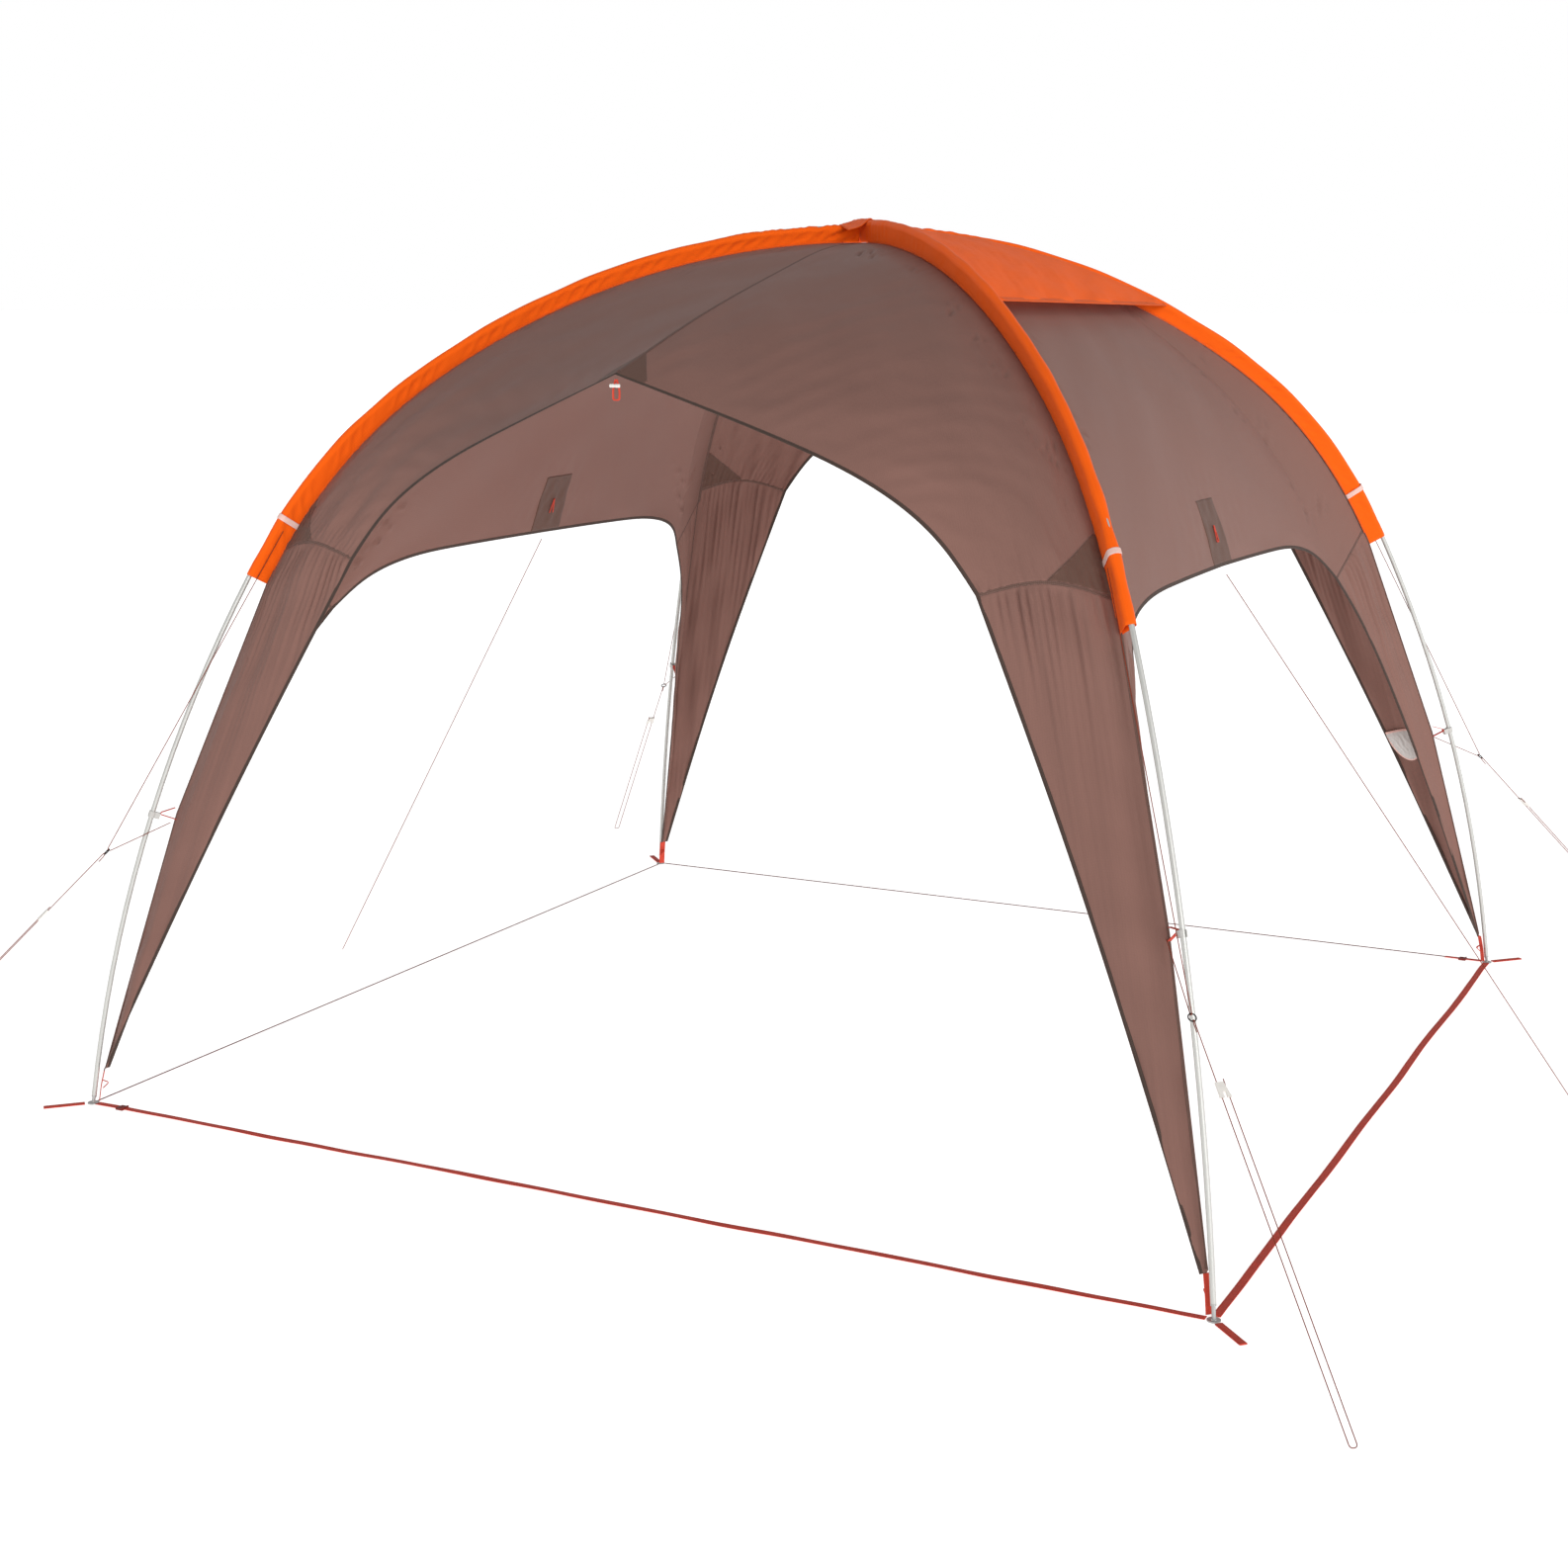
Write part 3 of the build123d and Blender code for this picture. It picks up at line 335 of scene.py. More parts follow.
def cloth_material(name, colour, shine=0.55, gloss=DULL):
    """Coated woven cloth: threads, a ripstop grid, creases, and uneven dye and handling marks."""
    paint = Paint(name, shine, sheen=0.04)
    paint.set("Specular Tint", colour)
    paint.set("Specular IOR Level", gloss)
    flat = paint.flat
    threads = [paint.stripes(flat, WEAVE_THREAD, way) for way in "XY"]
    weave = paint.times(paint.plus(*threads), 0.5)
    grid_lines = [paint.stripes(flat, RIPSTOP_GRID, way) for way in "XY"]
    ribs = paint.math("POWER", paint.math("MAXIMUM", *grid_lines), RIPSTOP_SHARPNESS)
    clouds = paint.noise(paint.where, 1.7, 5.0)
    creases = paint.noise(flat, 9.0, 6.0, stretch=(1.0, 0.35, 1.0))
    base = paint.shades(clouds, colour, 0.90, 1.10)
    base = paint.mixed(paint.times(creases, 0.35), base, scaled(colour, 1.18))
    paint.colour(paint.mixed(paint.times(ribs, 0.16), base, scaled(colour, 0.72)))
    paint.roughness(creases, shine - 0.09, shine + 0.12)
    height = paint.plus(paint.times(weave, 0.25), paint.times(ribs, 0.5))
    paint.bump(paint.plus(height, paint.times(creases, 2.2)), 0.0004, 0.6)
    return paint.material


TAPE_SHINE = 0.7
STITCH_PITCH = 0.0042
STITCH_SHARE = 0.66
STITCH_HALF_WIDTH = 0.00045


def tape_material(name, colour, thread_colour, stitch_at, rib=0.0011):
    """Woven tape or webbing: cross ribs, rows of stitches along it, and a little wear."""
    paint = Paint(name, TAPE_SHINE, sheen=0.05)
    flat = paint.flat
    split = paint.node("ShaderNodeSeparateXYZ", {0: flat})
    along, across = split.outputs[0], split.outputs[1]
    ribs = paint.stripes(flat, rib, "X")
    herringbone = paint.stripes(flat, rib * 1.6, "DIAGONAL")
    pitches = paint.math("FRACT", paint.times(along, 1 / STITCH_PITCH))
    dash = paint.math("LESS_THAN", pitches, STITCH_SHARE)
    stitches = None
    for offset in stitch_at:
        gap = paint.math("ABSOLUTE", paint.math("SUBTRACT", across, offset))
        row = paint.times(paint.math("LESS_THAN", gap, STITCH_HALF_WIDTH), dash)
        stitches = row if stitches is None else paint.math("MAXIMUM", stitches, row)
    wear = paint.noise(paint.where, 26.0, 6.0)
    base = paint.shades(wear, colour, 0.82, 1.22)
    base = paint.mixed(paint.times(ribs, 0.25), base, scaled(colour, 0.62))
    paint.colour(paint.mixed(stitches, base, thread_colour))
    paint.roughness(wear, TAPE_SHINE - 0.08, TAPE_SHINE + 0.15)
    height = paint.plus(paint.times(ribs, 0.7), paint.times(herringbone, 0.4))
    paint.bump(paint.plus(height, paint.times(stitches, 1.2)), 0.0003, 0.8)
    return paint.material


def cord_material(name, colour, fleck):
    """Braided cord: crossing strands and flecks of a second yarn."""
    paint = Paint(name, 0.8)
    where = paint.where
    strands = paint.stripes(where, 0.0022, "DIAGONAL")
    counter = paint.stripes(where, 0.0031, "Z")
    flecks = paint.math("POWER", paint.noise(where, 420.0, 2.0), 2.0)
    base = paint.shades(strands, colour, 0.7, 1.2)
    paint.colour(paint.mixed(paint.times(flecks, 0.6), base, fleck))
    paint.roughness(flecks, 0.65, 0.85)
    paint.bump(paint.plus(strands, paint.times(counter, 0.6)), 0.0003, 0.7)
    return paint.material


def metal_material(name, colour, roughness):
    """Drawn and anodised metal: fine lengthwise grain, handling marks and a dull bloom."""
    paint = Paint(name, roughness, metallic=0.55)
    where = paint.where
    lines = paint.noise(where, 900.0, 3.0, stretch=(1.0, 1.0, 0.05))
    marks = paint.noise(where, 14.0, 8.0)
    base = paint.shades(marks, colour, 0.88, 1.04)
    paint.colour(paint.mixed(paint.times(lines, 0.2), base, scaled(colour, 0.7)))
    paint.roughness(marks, roughness - 0.08, roughness + 0.14)
    paint.bump(lines, 0.00005, 0.5)
    return paint.material


def plastic_material(name, colour, roughness):
    """Moulded plastic: fine grain and faint flow marks."""
    paint = Paint(name, roughness)
    where = paint.where
    grain = paint.noise(where, 1400.0, 2.0)
    flow = paint.noise(where, 45.0, 5.0)
    paint.colour(paint.shades(flow, colour, 0.86, 1.12))
    paint.roughness(flow, roughness - 0.08, roughness + 0.12)
    paint.bump(paint.plus(grain, flow), 0.0001, 0.6)
    return paint.material


def mesh_material(name, colour):
    """Knitted mesh: a grid of open holes between light yarns."""
    paint = Paint(name, 0.8, sheen=0.2)
    flat = paint.flat
    yarn = paint.math("MAXIMUM", *(paint.stripes(flat, 0.0032, way) for way in "XY"))
    shade = paint.noise(paint.where, 60.0, 4.0)
    base = paint.shades(shade, colour, 0.9, 1.05)
    paint.colour(paint.mixed(paint.math("POWER", yarn, 2.0), scaled(colour, 0.55), base))
    paint.roughness(shade, 0.7, 0.9)
    paint.bump(yarn, 0.0006, 0.8)
    return paint.material


BROWN = colour_of(133, 99, 90)
BROWN_DARK = colour_of(103, 78, 69)
ORANGE = colour_of(246, 98, 22)
RED = colour_of(212, 74, 56)
BINDING = colour_of(74, 60, 54)
SEAM_BROWN = colour_of(104, 78, 70)
SEAM_THREAD = colour_of(140, 112, 102)
WHITE = colour_of(236, 226, 222)
PINK_WHITE = colour_of(238, 196, 186)
PALE = colour_of(228, 223, 219)

brown_cloth = cloth_material("brown_cloth", BROWN)
patch_cloth = cloth_material("patch_cloth", BROWN_DARK)
orange_cloth = cloth_material("orange_cloth", ORANGE)
# The top panels' cloth is the sleeves' orange with a lower gloss and a lighter base colour; the lighter
# colour is painted light.
top_cloth = cloth_material("top_cloth", colour_of(255, 104, 30), shine=0.7, gloss=0.04)
binding_tape = tape_material("binding_tape", BINDING, scaled(BINDING, 1.7), (0.0022,))
seam_tape = tape_material("seam_tape", SEAM_BROWN, SEAM_THREAD, (-0.0022, 0.0022))
orange_seam = tape_material("orange_seam", scaled(ORANGE, 0.85), scaled(ORANGE, 1.25), (-0.002, 0.002))
white_webbing = tape_material("white_webbing", PINK_WHITE, WHITE, (-0.005, 0.005))
red_webbing = tape_material("red_webbing", RED, scaled(RED, 0.6), (-0.0065, 0.0065), rib=0.0016)
guy_cord = cord_material("guy_cord", colour_of(122, 44, 26), colour_of(168, 92, 66))
ground_cord = cord_material("perimeter_cord", colour_of(92, 26, 22), colour_of(50, 26, 24))
pole_metal = metal_material("pole_metal", colour_of(206, 206, 202), 0.42)
tip_metal = metal_material("tip_metal", colour_of(186, 186, 184), 0.4)
clip_plastic = plastic_material("clip_plastic", colour_of(196, 194, 190), 0.5)
ring_plastic = plastic_material("ring_plastic", colour_of(38, 36, 36), 0.42)
lok_plastic = plastic_material("lok_plastic", colour_of(232, 228, 222), 0.35)
lock_plastic = plastic_material("lock_plastic", colour_of(120, 40, 34), 0.45)
pocket_mesh = mesh_material("pocket_mesh", PALE)


def repaint(node, material):
    """A CAD node that keeps its shape gets a finished material."""
    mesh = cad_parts[node].data
    mesh.materials.clear()
    mesh.materials.append(material)


def finished(piece, material, body=BODY, replaced=()):
    """Give a piece its material and body, and hide the CAD nodes that it stands for."""
    piece.data.materials.append(material)
    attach(piece, body)
    if replaced:
        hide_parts(*replaced)
    return piece


for name, (points, length) in cords.items():
    diameter, material, slot = GUY_CORD, guy_cord, "guy_cord"
    if name.startswith("perimeter"):
        diameter, material, slot = PERIMETER_CORD, ground_cord, "perimeter_cord"
    piece = rope(f"{name}_line", points, diameter)
    finished(piece, material, replaced=(name,))


# ---- mesh building tools
def mesh_object(name, vertices, faces, uvs=None):
    """A smooth-shaded mesh piece, with flat lengths in metres as its UV map."""
    mesh = bpy.data.meshes.new(name)
    mesh.from_pydata([tuple(place) for place in vertices], [], faces)
    if uvs is not None:
        layer = mesh.uv_layers.new(name="flat")
        for loop in mesh.loops:
            layer.data[loop.index].uv = uvs[loop.vertex_index]
    work = bmesh.new()
    work.from_mesh(mesh)
    bmesh.ops.recalc_face_normals(work, faces=work.faces)
    work.to_mesh(mesh)
    work.free()
    for polygon in mesh.polygons:
        polygon.use_smooth = True
    return added(name, mesh)


def lengths_along(grid, axis):
    """Running length along one way of a grid of points."""
    steps = np.linalg.norm(np.diff(grid, axis=axis), axis=-1)
    zeros = np.zeros_like(np.take(steps, [0], axis=axis))
    return np.concatenate((zeros, np.cumsum(steps, axis=axis)), axis=axis)


def thicken(piece, thickness, offset):
    solid = piece.modifiers.new("thickness", "SOLIDIFY")
    solid.thickness = thickness
    solid.offset = offset


def cloth_object(name, grid, thickness):
    """A sheet of cloth over a grid of points, with real thickness."""
    rows, columns = grid.shape[:2]
    faces = []
    for i in range(rows - 1):
        for j in range(columns - 1):
            here = i * columns + j
            faces.append((here, here + 1, here + columns + 1, here + columns))
    across = lengths_along(grid, 1)
    down = lengths_along(grid, 0)
    uvs = np.stack((across, down), axis=-1).reshape(-1, 2)
    piece = mesh_object(name, grid.reshape(-1, 3), faces, uvs)
    thicken(piece, thickness, 0)
    return piece


def flat_facts(grid):
    """A cloth's cut size and area, from a grid of points."""
    width = lengths_along(grid, 1)[:, -1].max()
    length = lengths_along(grid, 0)[-1].max()
    first = grid[1:, :-1] - grid[:-1, :-1]
    second = grid[:-1, 1:] - grid[:-1, :-1]
    third = grid[1:, :-1] - grid[1:, 1:]
    fourth = grid[:-1, 1:] - grid[1:, 1:]
    area = np.linalg.norm(np.cross(first, second), axis=-1).sum() / 2
    area += np.linalg.norm(np.cross(third, fourth), axis=-1).sum() / 2
    return (float(width), float(length)), float(min(area, 0.999 * width * length))


def unit(vectors):
    """Arrays of vectors made one long."""
    return vectors / np.maximum(np.linalg.norm(vectors, axis=-1, keepdims=True), 1e-9)


def repeated(direction, count):
    """One direction as an array of that many rows."""
    return np.tile(np.array(tuple(direction)), (count, 1))


def band(name, centres, wide, thick, width, thickness, closed=False):
    """A flat tape swept along a line: wide and thick are unit directions at each point."""
    centres, wide, thick = (np.asarray(values, float) for values in (centres, wide, thick))
    count = len(centres)
    turns = np.linspace(0, 2 * pi, 12, endpoint=False) + pi / 12
    across = np.sign(np.cos(turns)) * np.abs(np.cos(turns)) ** 0.35 * width / 2
    over = np.sign(np.sin(turns)) * np.abs(np.sin(turns)) ** 0.6 * thickness / 2
    rings = centres[:, None] + wide[:, None] * across[:, None] + thick[:, None] * over[:, None]
    run = np.concatenate(([0], np.cumsum(np.linalg.norm(np.diff(centres, axis=0), axis=-1))))
    uvs = np.stack(np.broadcast_arrays(run[:, None], across[None]), axis=-1).reshape(-1, 2)
    ring = len(turns)
    faces = []
    for i in range(count if closed else count - 1):
        here, there = i * ring, (i + 1) % count * ring
        for j in range(ring):
            after = (j + 1) % ring
            faces.append((here + j, here + after, there + after, there + j))
    if not closed:
        faces.append(tuple(range(ring)))
        faces.append(tuple(range((count - 1) * ring, count * ring)))
    return mesh_object(name, rings.reshape(-1, 3), faces, uvs)


def by_length(points):
    """A line of points as a function of shares of its length."""
    points = np.asarray(points, float)
    run = np.concatenate(([0], np.cumsum(np.linalg.norm(np.diff(points, axis=0), axis=-1))))

    def place(shares):
        wanted = np.asarray(shares, float) * run[-1]
        return np.stack([np.interp(wanted, run, points[:, k]) for k in range(3)], axis=-1)

    return place


def smooth(*points):
    """A natural cubic curve through points given in millimetres."""
    points = np.array(points, float) / 1000
    knots = np.concatenate(([0], np.cumsum(np.linalg.norm(np.diff(points, axis=0), axis=-1))))
    gaps = np.diff(knots)
    count = len(points)
    system, pulls = np.eye(count), np.zeros((count, 3))
    for i in range(1, count - 1):
        system[i, i - 1 : i + 2] = gaps[i - 1], 2 * (gaps[i - 1] + gaps[i]), gaps[i]
        slopes = (points[i + 1] - points[i]) / gaps[i], (points[i] - points[i - 1]) / gaps[i - 1]
        pulls[i] = 6 * (slopes[0] - slopes[1])
    bends = np.linalg.solve(system, pulls)
    line = []
    for knot in np.linspace(0, knots[-1], 241):
        i = min(int(np.searchsorted(knots, knot, side="right")) - 1, count - 2)
        after, before = (knot - knots[i]) / gaps[i], (knots[i + 1] - knot) / gaps[i]
        bend = (before**3 - before) * bends[i] + (after**3 - after) * bends[i + 1]
        line.append(before * points[i] + after * points[i + 1] + bend * gaps[i] ** 2 / 6)
    return by_length(line)


def straight(start, end):
    return by_length([tuple(start), tuple(end)])


def seam_point(angle):
    reach = arch_point(angle, seam_inset(angle))
    return (reach[0] / sqrt(2), reach[0] / sqrt(2), reach[1])


def seam_run(start, end):
    """The sleeve seam between two arch angles."""
    return by_length([seam_point(angle) for angle in np.linspace(start, end, 120)])


def patch(near, far, first, last, across, down):
    """A grid over the surface that four edges span."""
    u, v = across[None, :, None], down[:, None, None]
    sides = near(down)[:, None] * (1 - u) + far(down)[:, None] * u
    ends = first(across)[None] * (1 - v) + last(across)[None] * v
    top = near([0]) * (1 - u) + far([0]) * u
    bottom = near([1]) * (1 - u) + far([1]) * u
    return sides + ends - top * (1 - v) - bottom * v


def normals_of(grid):
    """Unit directions out of the dome at each point of a grid."""
    down, across = np.gradient(grid, axis=0), np.gradient(grid, axis=1)
    normals = unit(np.cross(down, across))
    outwards = grid - np.array((0, 0, 0.9))
    return normals * np.sign((normals * outwards).sum(axis=-1, keepdims=True))


def ripples(u, v, seed, size, heading, scatter, count=9):
    """Uneven waves about one high, size metres long, within scatter radians of heading."""
    random = np.random.default_rng(seed)
    total = 0
    for _ in range(count):
        turn = heading + random.uniform(-scatter, scatter)
        period = size * random.uniform(0.65, 1.5)
        distance = u * cos(turn) + v * sin(turn)
        total = total + np.sin(distance * 2 * pi / period + random.uniform(0, 2 * pi))
    return total / sqrt(count)


def rise(shares, reach):
    """From 0 at the edge to 1 past reach."""
    share = np.clip(shares / reach, 0, 1)
    return share * share * (3 - 2 * share)


def bell(value, middle, width):
    """1 at the middle, and fading both ways."""
    return np.exp(-(((value - middle) / width) ** 2))


def framed(u, v, left, right, top, bottom):
    """0 along a panel's four edges, rising to 1 over these shares of its sides."""
    return rise(u, left) * rise(1 - u, right) * rise(v, top) * rise(1 - v, bottom)


def turned(grid, corner):
    """A first-quadrant grid moved to a corner's quadrant."""
    x_sign, y_sign = CORNERS[corner]
    return grid * np.array((x_sign, y_sign, 1))


# ---- cloth outlines
SLEEVE_SIDE = radians(1.0)
LEG_SEAM_ANGLE = solved(lambda angle: arch_point(angle, SEAM_INSET_LEG)[1] < 1.440)
SIDE_SEAM_ANGLE = solved(lambda angle: arch_point(angle, SEAM_INSET_LEG)[1] < 1.400)
SIDE_TOP_ANGLE = solved(lambda angle: arch_point(angle)[0] > 0.800)
VENT_TOP_ANGLE = solved(lambda angle: arch_point(angle)[0] > 0.030)
VENT_LOW_ANGLE = solved(lambda angle: arch_point(angle)[0] > 0.930)
VENT_ASIDE = 0.0100

ridge_line = smooth((0, 8, 2230), (0, 212, 2213), (0, 436, 2165), (0, 897, 2048), (0, 1332, 1912))
crown_edge = smooth(
    (0, 1332, 1912), (357, 1247, 1775), (600, 1211, 1662), (744, 1207, 1555), (839, 1213, 1441)
)
door_leg_edge = smooth((839, 1213, 1441), (1130, 1338, 866), (1483, 1509, 92))
low_hem = smooth(
    (1042, 0, 1398), (1050, 450, 1394), (1062, 720, 1375), (1084, 862, 1330), (1115, 940, 1270)
)
side_leg_edge = smooth(
    (1115, 940, 1270), (1164, 1059, 1136), (1254, 1196, 876), (1393, 1373, 426), (1491, 1479, 92)
)
LEG_TIP = (1.493, 1.493, 0.092)
CLIP_CORNER = (1.893 / sqrt(2), 1.893 / sqrt(2), 0.765)
leg_seam_start = [value * 1000 for value in seam_point(LEG_SEAM_ANGLE)]
leg_seam = smooth(leg_seam_start, (1000, 1180, 1475), (839, 1213, 1441))
side_seam = straight(seam_point(SIDE_SEAM_ANGLE), (1.115, 0.940, 1.270))


def corner_line(start_angle):
    """The leg's corner: down the sleeve seam, to the clip tab, to the tip above the foot."""
    angles = np.linspace(start_angle, SLEEVE_END, 12)
    return by_length([seam_point(angle) for angle in angles] + [CLIP_CORNER, LEG_TIP])


CROWN_EDGES = (seam_run(SLEEVE_SIDE / 4, LEG_SEAM_ANGLE), crown_edge, ridge_line, leg_seam)
door_leg_tip = straight(LEG_TIP, (1.483, 1.509, 0.092))
side_leg_tip = straight(LEG_TIP, (1.491, 1.479, 0.092))
DOOR_LEG_EDGES = (corner_line(LEG_SEAM_ANGLE), door_leg_edge, leg_seam, door_leg_tip)
SIDE_LEG_EDGES = (corner_line(SIDE_SEAM_ANGLE), side_leg_edge, side_seam, side_leg_tip)

FLIP = np.array((1, -1, 1))
hem_points = np.concatenate((side_seam(np.linspace(0, 1, 12)), low_hem(np.linspace(1, 0, 60))[1:]))
low_edge = by_length(np.concatenate((hem_points * FLIP, hem_points[-2::-1])))
rear_seam = seam_run(SIDE_TOP_ANGLE, SIDE_SEAM_ANGLE)


def front_seam(shares):
    return rear_seam(shares) * FLIP


side_top = straight(front_seam([0])[0], rear_seam([0])[0])
SIDE_EDGES = (front_seam, rear_seam, side_top, low_edge)


def vent_edge(side_sign):
    """The top panel's edge beside a sleeve, at the height of its pole."""
    points = []
    for angle in np.linspace(VENT_TOP_ANGLE, VENT_LOW_ANGLE, 60):
        reach, height = arch_point(angle)
        x, y = (reach + VENT_ASIDE) / sqrt(2), (reach - VENT_ASIDE) / sqrt(2)
        points.append((x, side_sign * y, height - side_sign * CROSSING_LIFT))
    return by_length(points)


vent_sides = (vent_edge(-1), vent_edge(1))
vent_ends = [straight(*(edge([share])[0] for edge in vent_sides)) for share in (0, 1)]
VENT_EDGES = (*vent_sides, *vent_ends)


# ---- cloth folds
def short_creases(across, down, seed, heading):
    """Sparse short diagonal creases, in drifts."""
    lines = np.clip(ripples(across, down, seed, 0.030, heading, 0.50, 15) - 0.55, 0, 1.5)
    drifts = rise(ripples(across, down, seed + 1, 0.22, 1.2, 0.9) + 0.15, 0.8)
    return -lines * drifts * 0.0085


# The panels' rough widths and drops, in metres, which set the scale of their folds.
CROWN_SPAN = (0.75, 1.75)
LEG_DROP = 1.45
LEG_WIDTHS = (0.33, 0.20)
SIDE_SPAN = 1.9
VENT_SPAN = (0.08, 1.2, 0.95)


def crown_folds(u, v, seed):
    """Long tension folds, puckers along the sleeve seam, and short creases beside it."""
    across, down = u * CROWN_SPAN[0], v * CROWN_SPAN[1]
    held = framed(u, v, 0.12, 0.10, 0.05, 0.06)
    folds = ripples(across, down, seed, 0.24, 0.0, 0.6) * 0.0026
    folds = folds + ripples(across, down, seed + 1, 0.09, 0.2, 0.8) * 0.0008
    puckers = ripples(across, down, seed + 2, 0.034, pi / 2, 0.25) * 0.0011
    near_seam = np.exp(-across / 0.045) * rise(u, 0.012)
    creased = short_creases(across, down, seed + 5, -0.85) * held * bell(across, 0.07, 0.07)
    gathers = ripples(across, down, seed + 3, 0.045, 0.0, 0.3) * 0.0016
    near_leg = np.exp(-(1 - v) * CROWN_SPAN[1] / 0.09) * rise(1 - v, 0.008) * rise(1 - u, 0.05)
    return folds * held + creased + puckers * near_seam + gathers * near_leg


def leg_folds(u, v, seed, wide):
    """Gathers that run down the leg from its top seam, with broader folds and slack over the leg."""
    across, down = u * wide * (1.08 - v), v * LEG_DROP
    ends = framed(u, v, 0.10, 0.10, 0.015, 0.05)
    depth = 0.0038 * bell(down, 0, 0.30) + 0.0003
    gathers = ripples(across, down, seed, 0.024, 0.0, 0.04) * depth
    folds = ripples(across, down, seed + 1, 0.12, 0.0, 0.16) * 0.0034
    slack = ripples(across, down, seed + 2, 0.20, 0.8, 0.5) * 0.0018
    return (gathers + folds + slack) * ends


def side_folds(u, v, seed):
    """A taut low panel: broad waves, puckers at both sleeves, small creases over the hem patch."""
    across, down = (u - 0.5) * SIDE_SPAN, v * 1.0
    held = framed(u, v, 0.08, 0.08, 0.05, 0.05)
    folds = ripples(across, down, seed, 0.36, 0.0, 0.9) * 0.0026
    middle = bell(across, 0, 0.16) * bell(v, 0.9, 0.12)
    middle = middle * ripples(across, down, seed + 1, 0.05, 0.0, 0.5) * 0.0014
    from_edge = np.minimum(u, 1 - u) * SIDE_SPAN
    creased = short_creases(np.abs(across), down, seed + 5, 0.85)
    creased = creased * bell(from_edge, 0.20, 0.12) * held
    puckers = ripples(across, down, seed + 2, 0.034, pi / 2, 0.3) * np.exp(-from_edge / 0.04) * 0.0010
    return (folds + middle) * held + creased + puckers * rise(from_edge, 0.012)


def vent_folds(u, v, seed):
    """A top panel pulled between two sleeves: faint broad and fine waves that fade out at its edges."""
    width = VENT_SPAN[0] + v * VENT_SPAN[1]
    across, down = (u - 0.5) * width, v * VENT_SPAN[2]
    held = rise(np.minimum(u, 1 - u) * width, 0.03) * rise(v, 0.08) * rise(1 - v, 0.03)
    folds = ripples(across, down, seed, 0.20, 0.3, 0.8) * 0.0018
    fine = ripples(across, down, seed + 1, 0.05, 1.2, 0.6) * 0.0005
    return (folds + fine) * held


def draped(edges, folds, corner, across, down, *facts):
    """A cloth panel's points in a corner's quadrant, with its folds."""
    across, down = np.asarray(across, float), np.asarray(down, float)
    grid = turned(patch(*edges, across, down), corner)
    height = folds(across[None, :], down[:, None], *facts)
    return grid + normals_of(grid) * height[..., None]


CLOTH = 0.0011
SEEDS = {corner: 40 + 10 * k for k, corner in enumerate(CORNERS)}
SIDE_SEEDS = {"right": 90, "left": 96}
# A side panel is drawn on the right, and turned half way round for the left.
HALF_TURNS = {"right": "rear_right", "left": "front_left"}
POLES = [f"pole_sections_{side}_diagonal" for side in ("left", "right")]


def declared(grid):
    """Work out a sheet's flat size and area, which are not kept."""
    flat, area = flat_facts(grid)


def panel(name, grid, material, node):
    """One cloth panel as a thickened sheet."""
    piece = cloth_object(name, grid, CLOTH)
    finished(piece, material, replaced=(node,))
    declared(grid)


fine_across, fine_down = np.linspace(0, 1, 90), np.linspace(0, 1, 170)
leg_across = np.linspace(0, 1, 64)
for corner in CORNERS:
    seed, pole = SEEDS[corner], POLES[corner in LIFTED]
    door_facts, side_facts = (seed + 4, LEG_WIDTHS[0]), (seed + 7, LEG_WIDTHS[1])
    for name, edges, folds, across, node, rest, facts in (
        ("crown", CROWN_EDGES, crown_folds, fine_across, "crown_panel", POLES[0], (seed,)),
        ("door_leg", DOOR_LEG_EDGES, leg_folds, leg_across, "leg_panels", pole, door_facts),
        ("side_leg", SIDE_LEG_EDGES, leg_folds, leg_across, "leg_panels", pole, side_facts),
    ):
        grid = draped(edges, folds, corner, across, fine_down, *facts)
        name, node = f"{name}_cloth_{corner}", f"{node}_{corner}"
        panel(name, grid, brown_cloth, node)

side_across, side_down = np.linspace(0, 1, 180), np.linspace(0, 1, 100)
for side, corner in HALF_TURNS.items():
    seed = SIDE_SEEDS[side]
    grid = draped(SIDE_EDGES, side_folds, corner, side_across, side_down, seed)
    panel(f"side_cloth_{side}", grid, brown_cloth, f"side_panel_{side}")
    grid = draped(VENT_EDGES, vent_folds, corner, side_across, side_down, seed + 3)
    panel(f"vent_cloth_{side}", grid, top_cloth, f"vent_panel_{side}")


# ---- edges and seams
def edge_band(name, edge, inner, width, thickness, setback, material, slot, replaced=()):
    """A tape along a line of cloth, with inner points to show which way the cloth lies."""
    run = np.gradient(edge, axis=0)
    inward = inner - edge
    run_unit = unit(run)
    inward = unit(inward - run_unit * (inward * run_unit).sum(axis=-1, keepdims=True))
    normal = unit(np.cross(run_unit, inward))
    piece = band(name, edge + inward * setback, inward, normal, width, thickness)
    return finished(piece, material, replaced=replaced)


# Each tape's width, thickness and setback from the cloth's edge.
BINDING_SIZE = (0.0095, 0.0026, 0.0035)
TOP_SEAM_SIZE = (0.0085, 0.0024, 0.001)
VENT_HEM_SIZE = (0.016, 0.0026, 0.0076)
CAP_HEM_SIZE = (0.006, 0.0024, 0.003)
SIDE_HEM_END = 0.938


def brown_seam(name, edge, inner, width, thickness=0.003, setback=0.0):
    """A taped seam between two brown cloths."""
    edge_band(name, edge, inner, width, thickness, setback, seam_tape, "brown_cloth")


def binding(place, edge, inner):
    """The dark tape folded over a door's or a low side's edge."""
    name = place.replace("binding", "binding_tape")
    edge_band(name, edge, inner, *BINDING_SIZE, binding_tape, "binding", (place,))


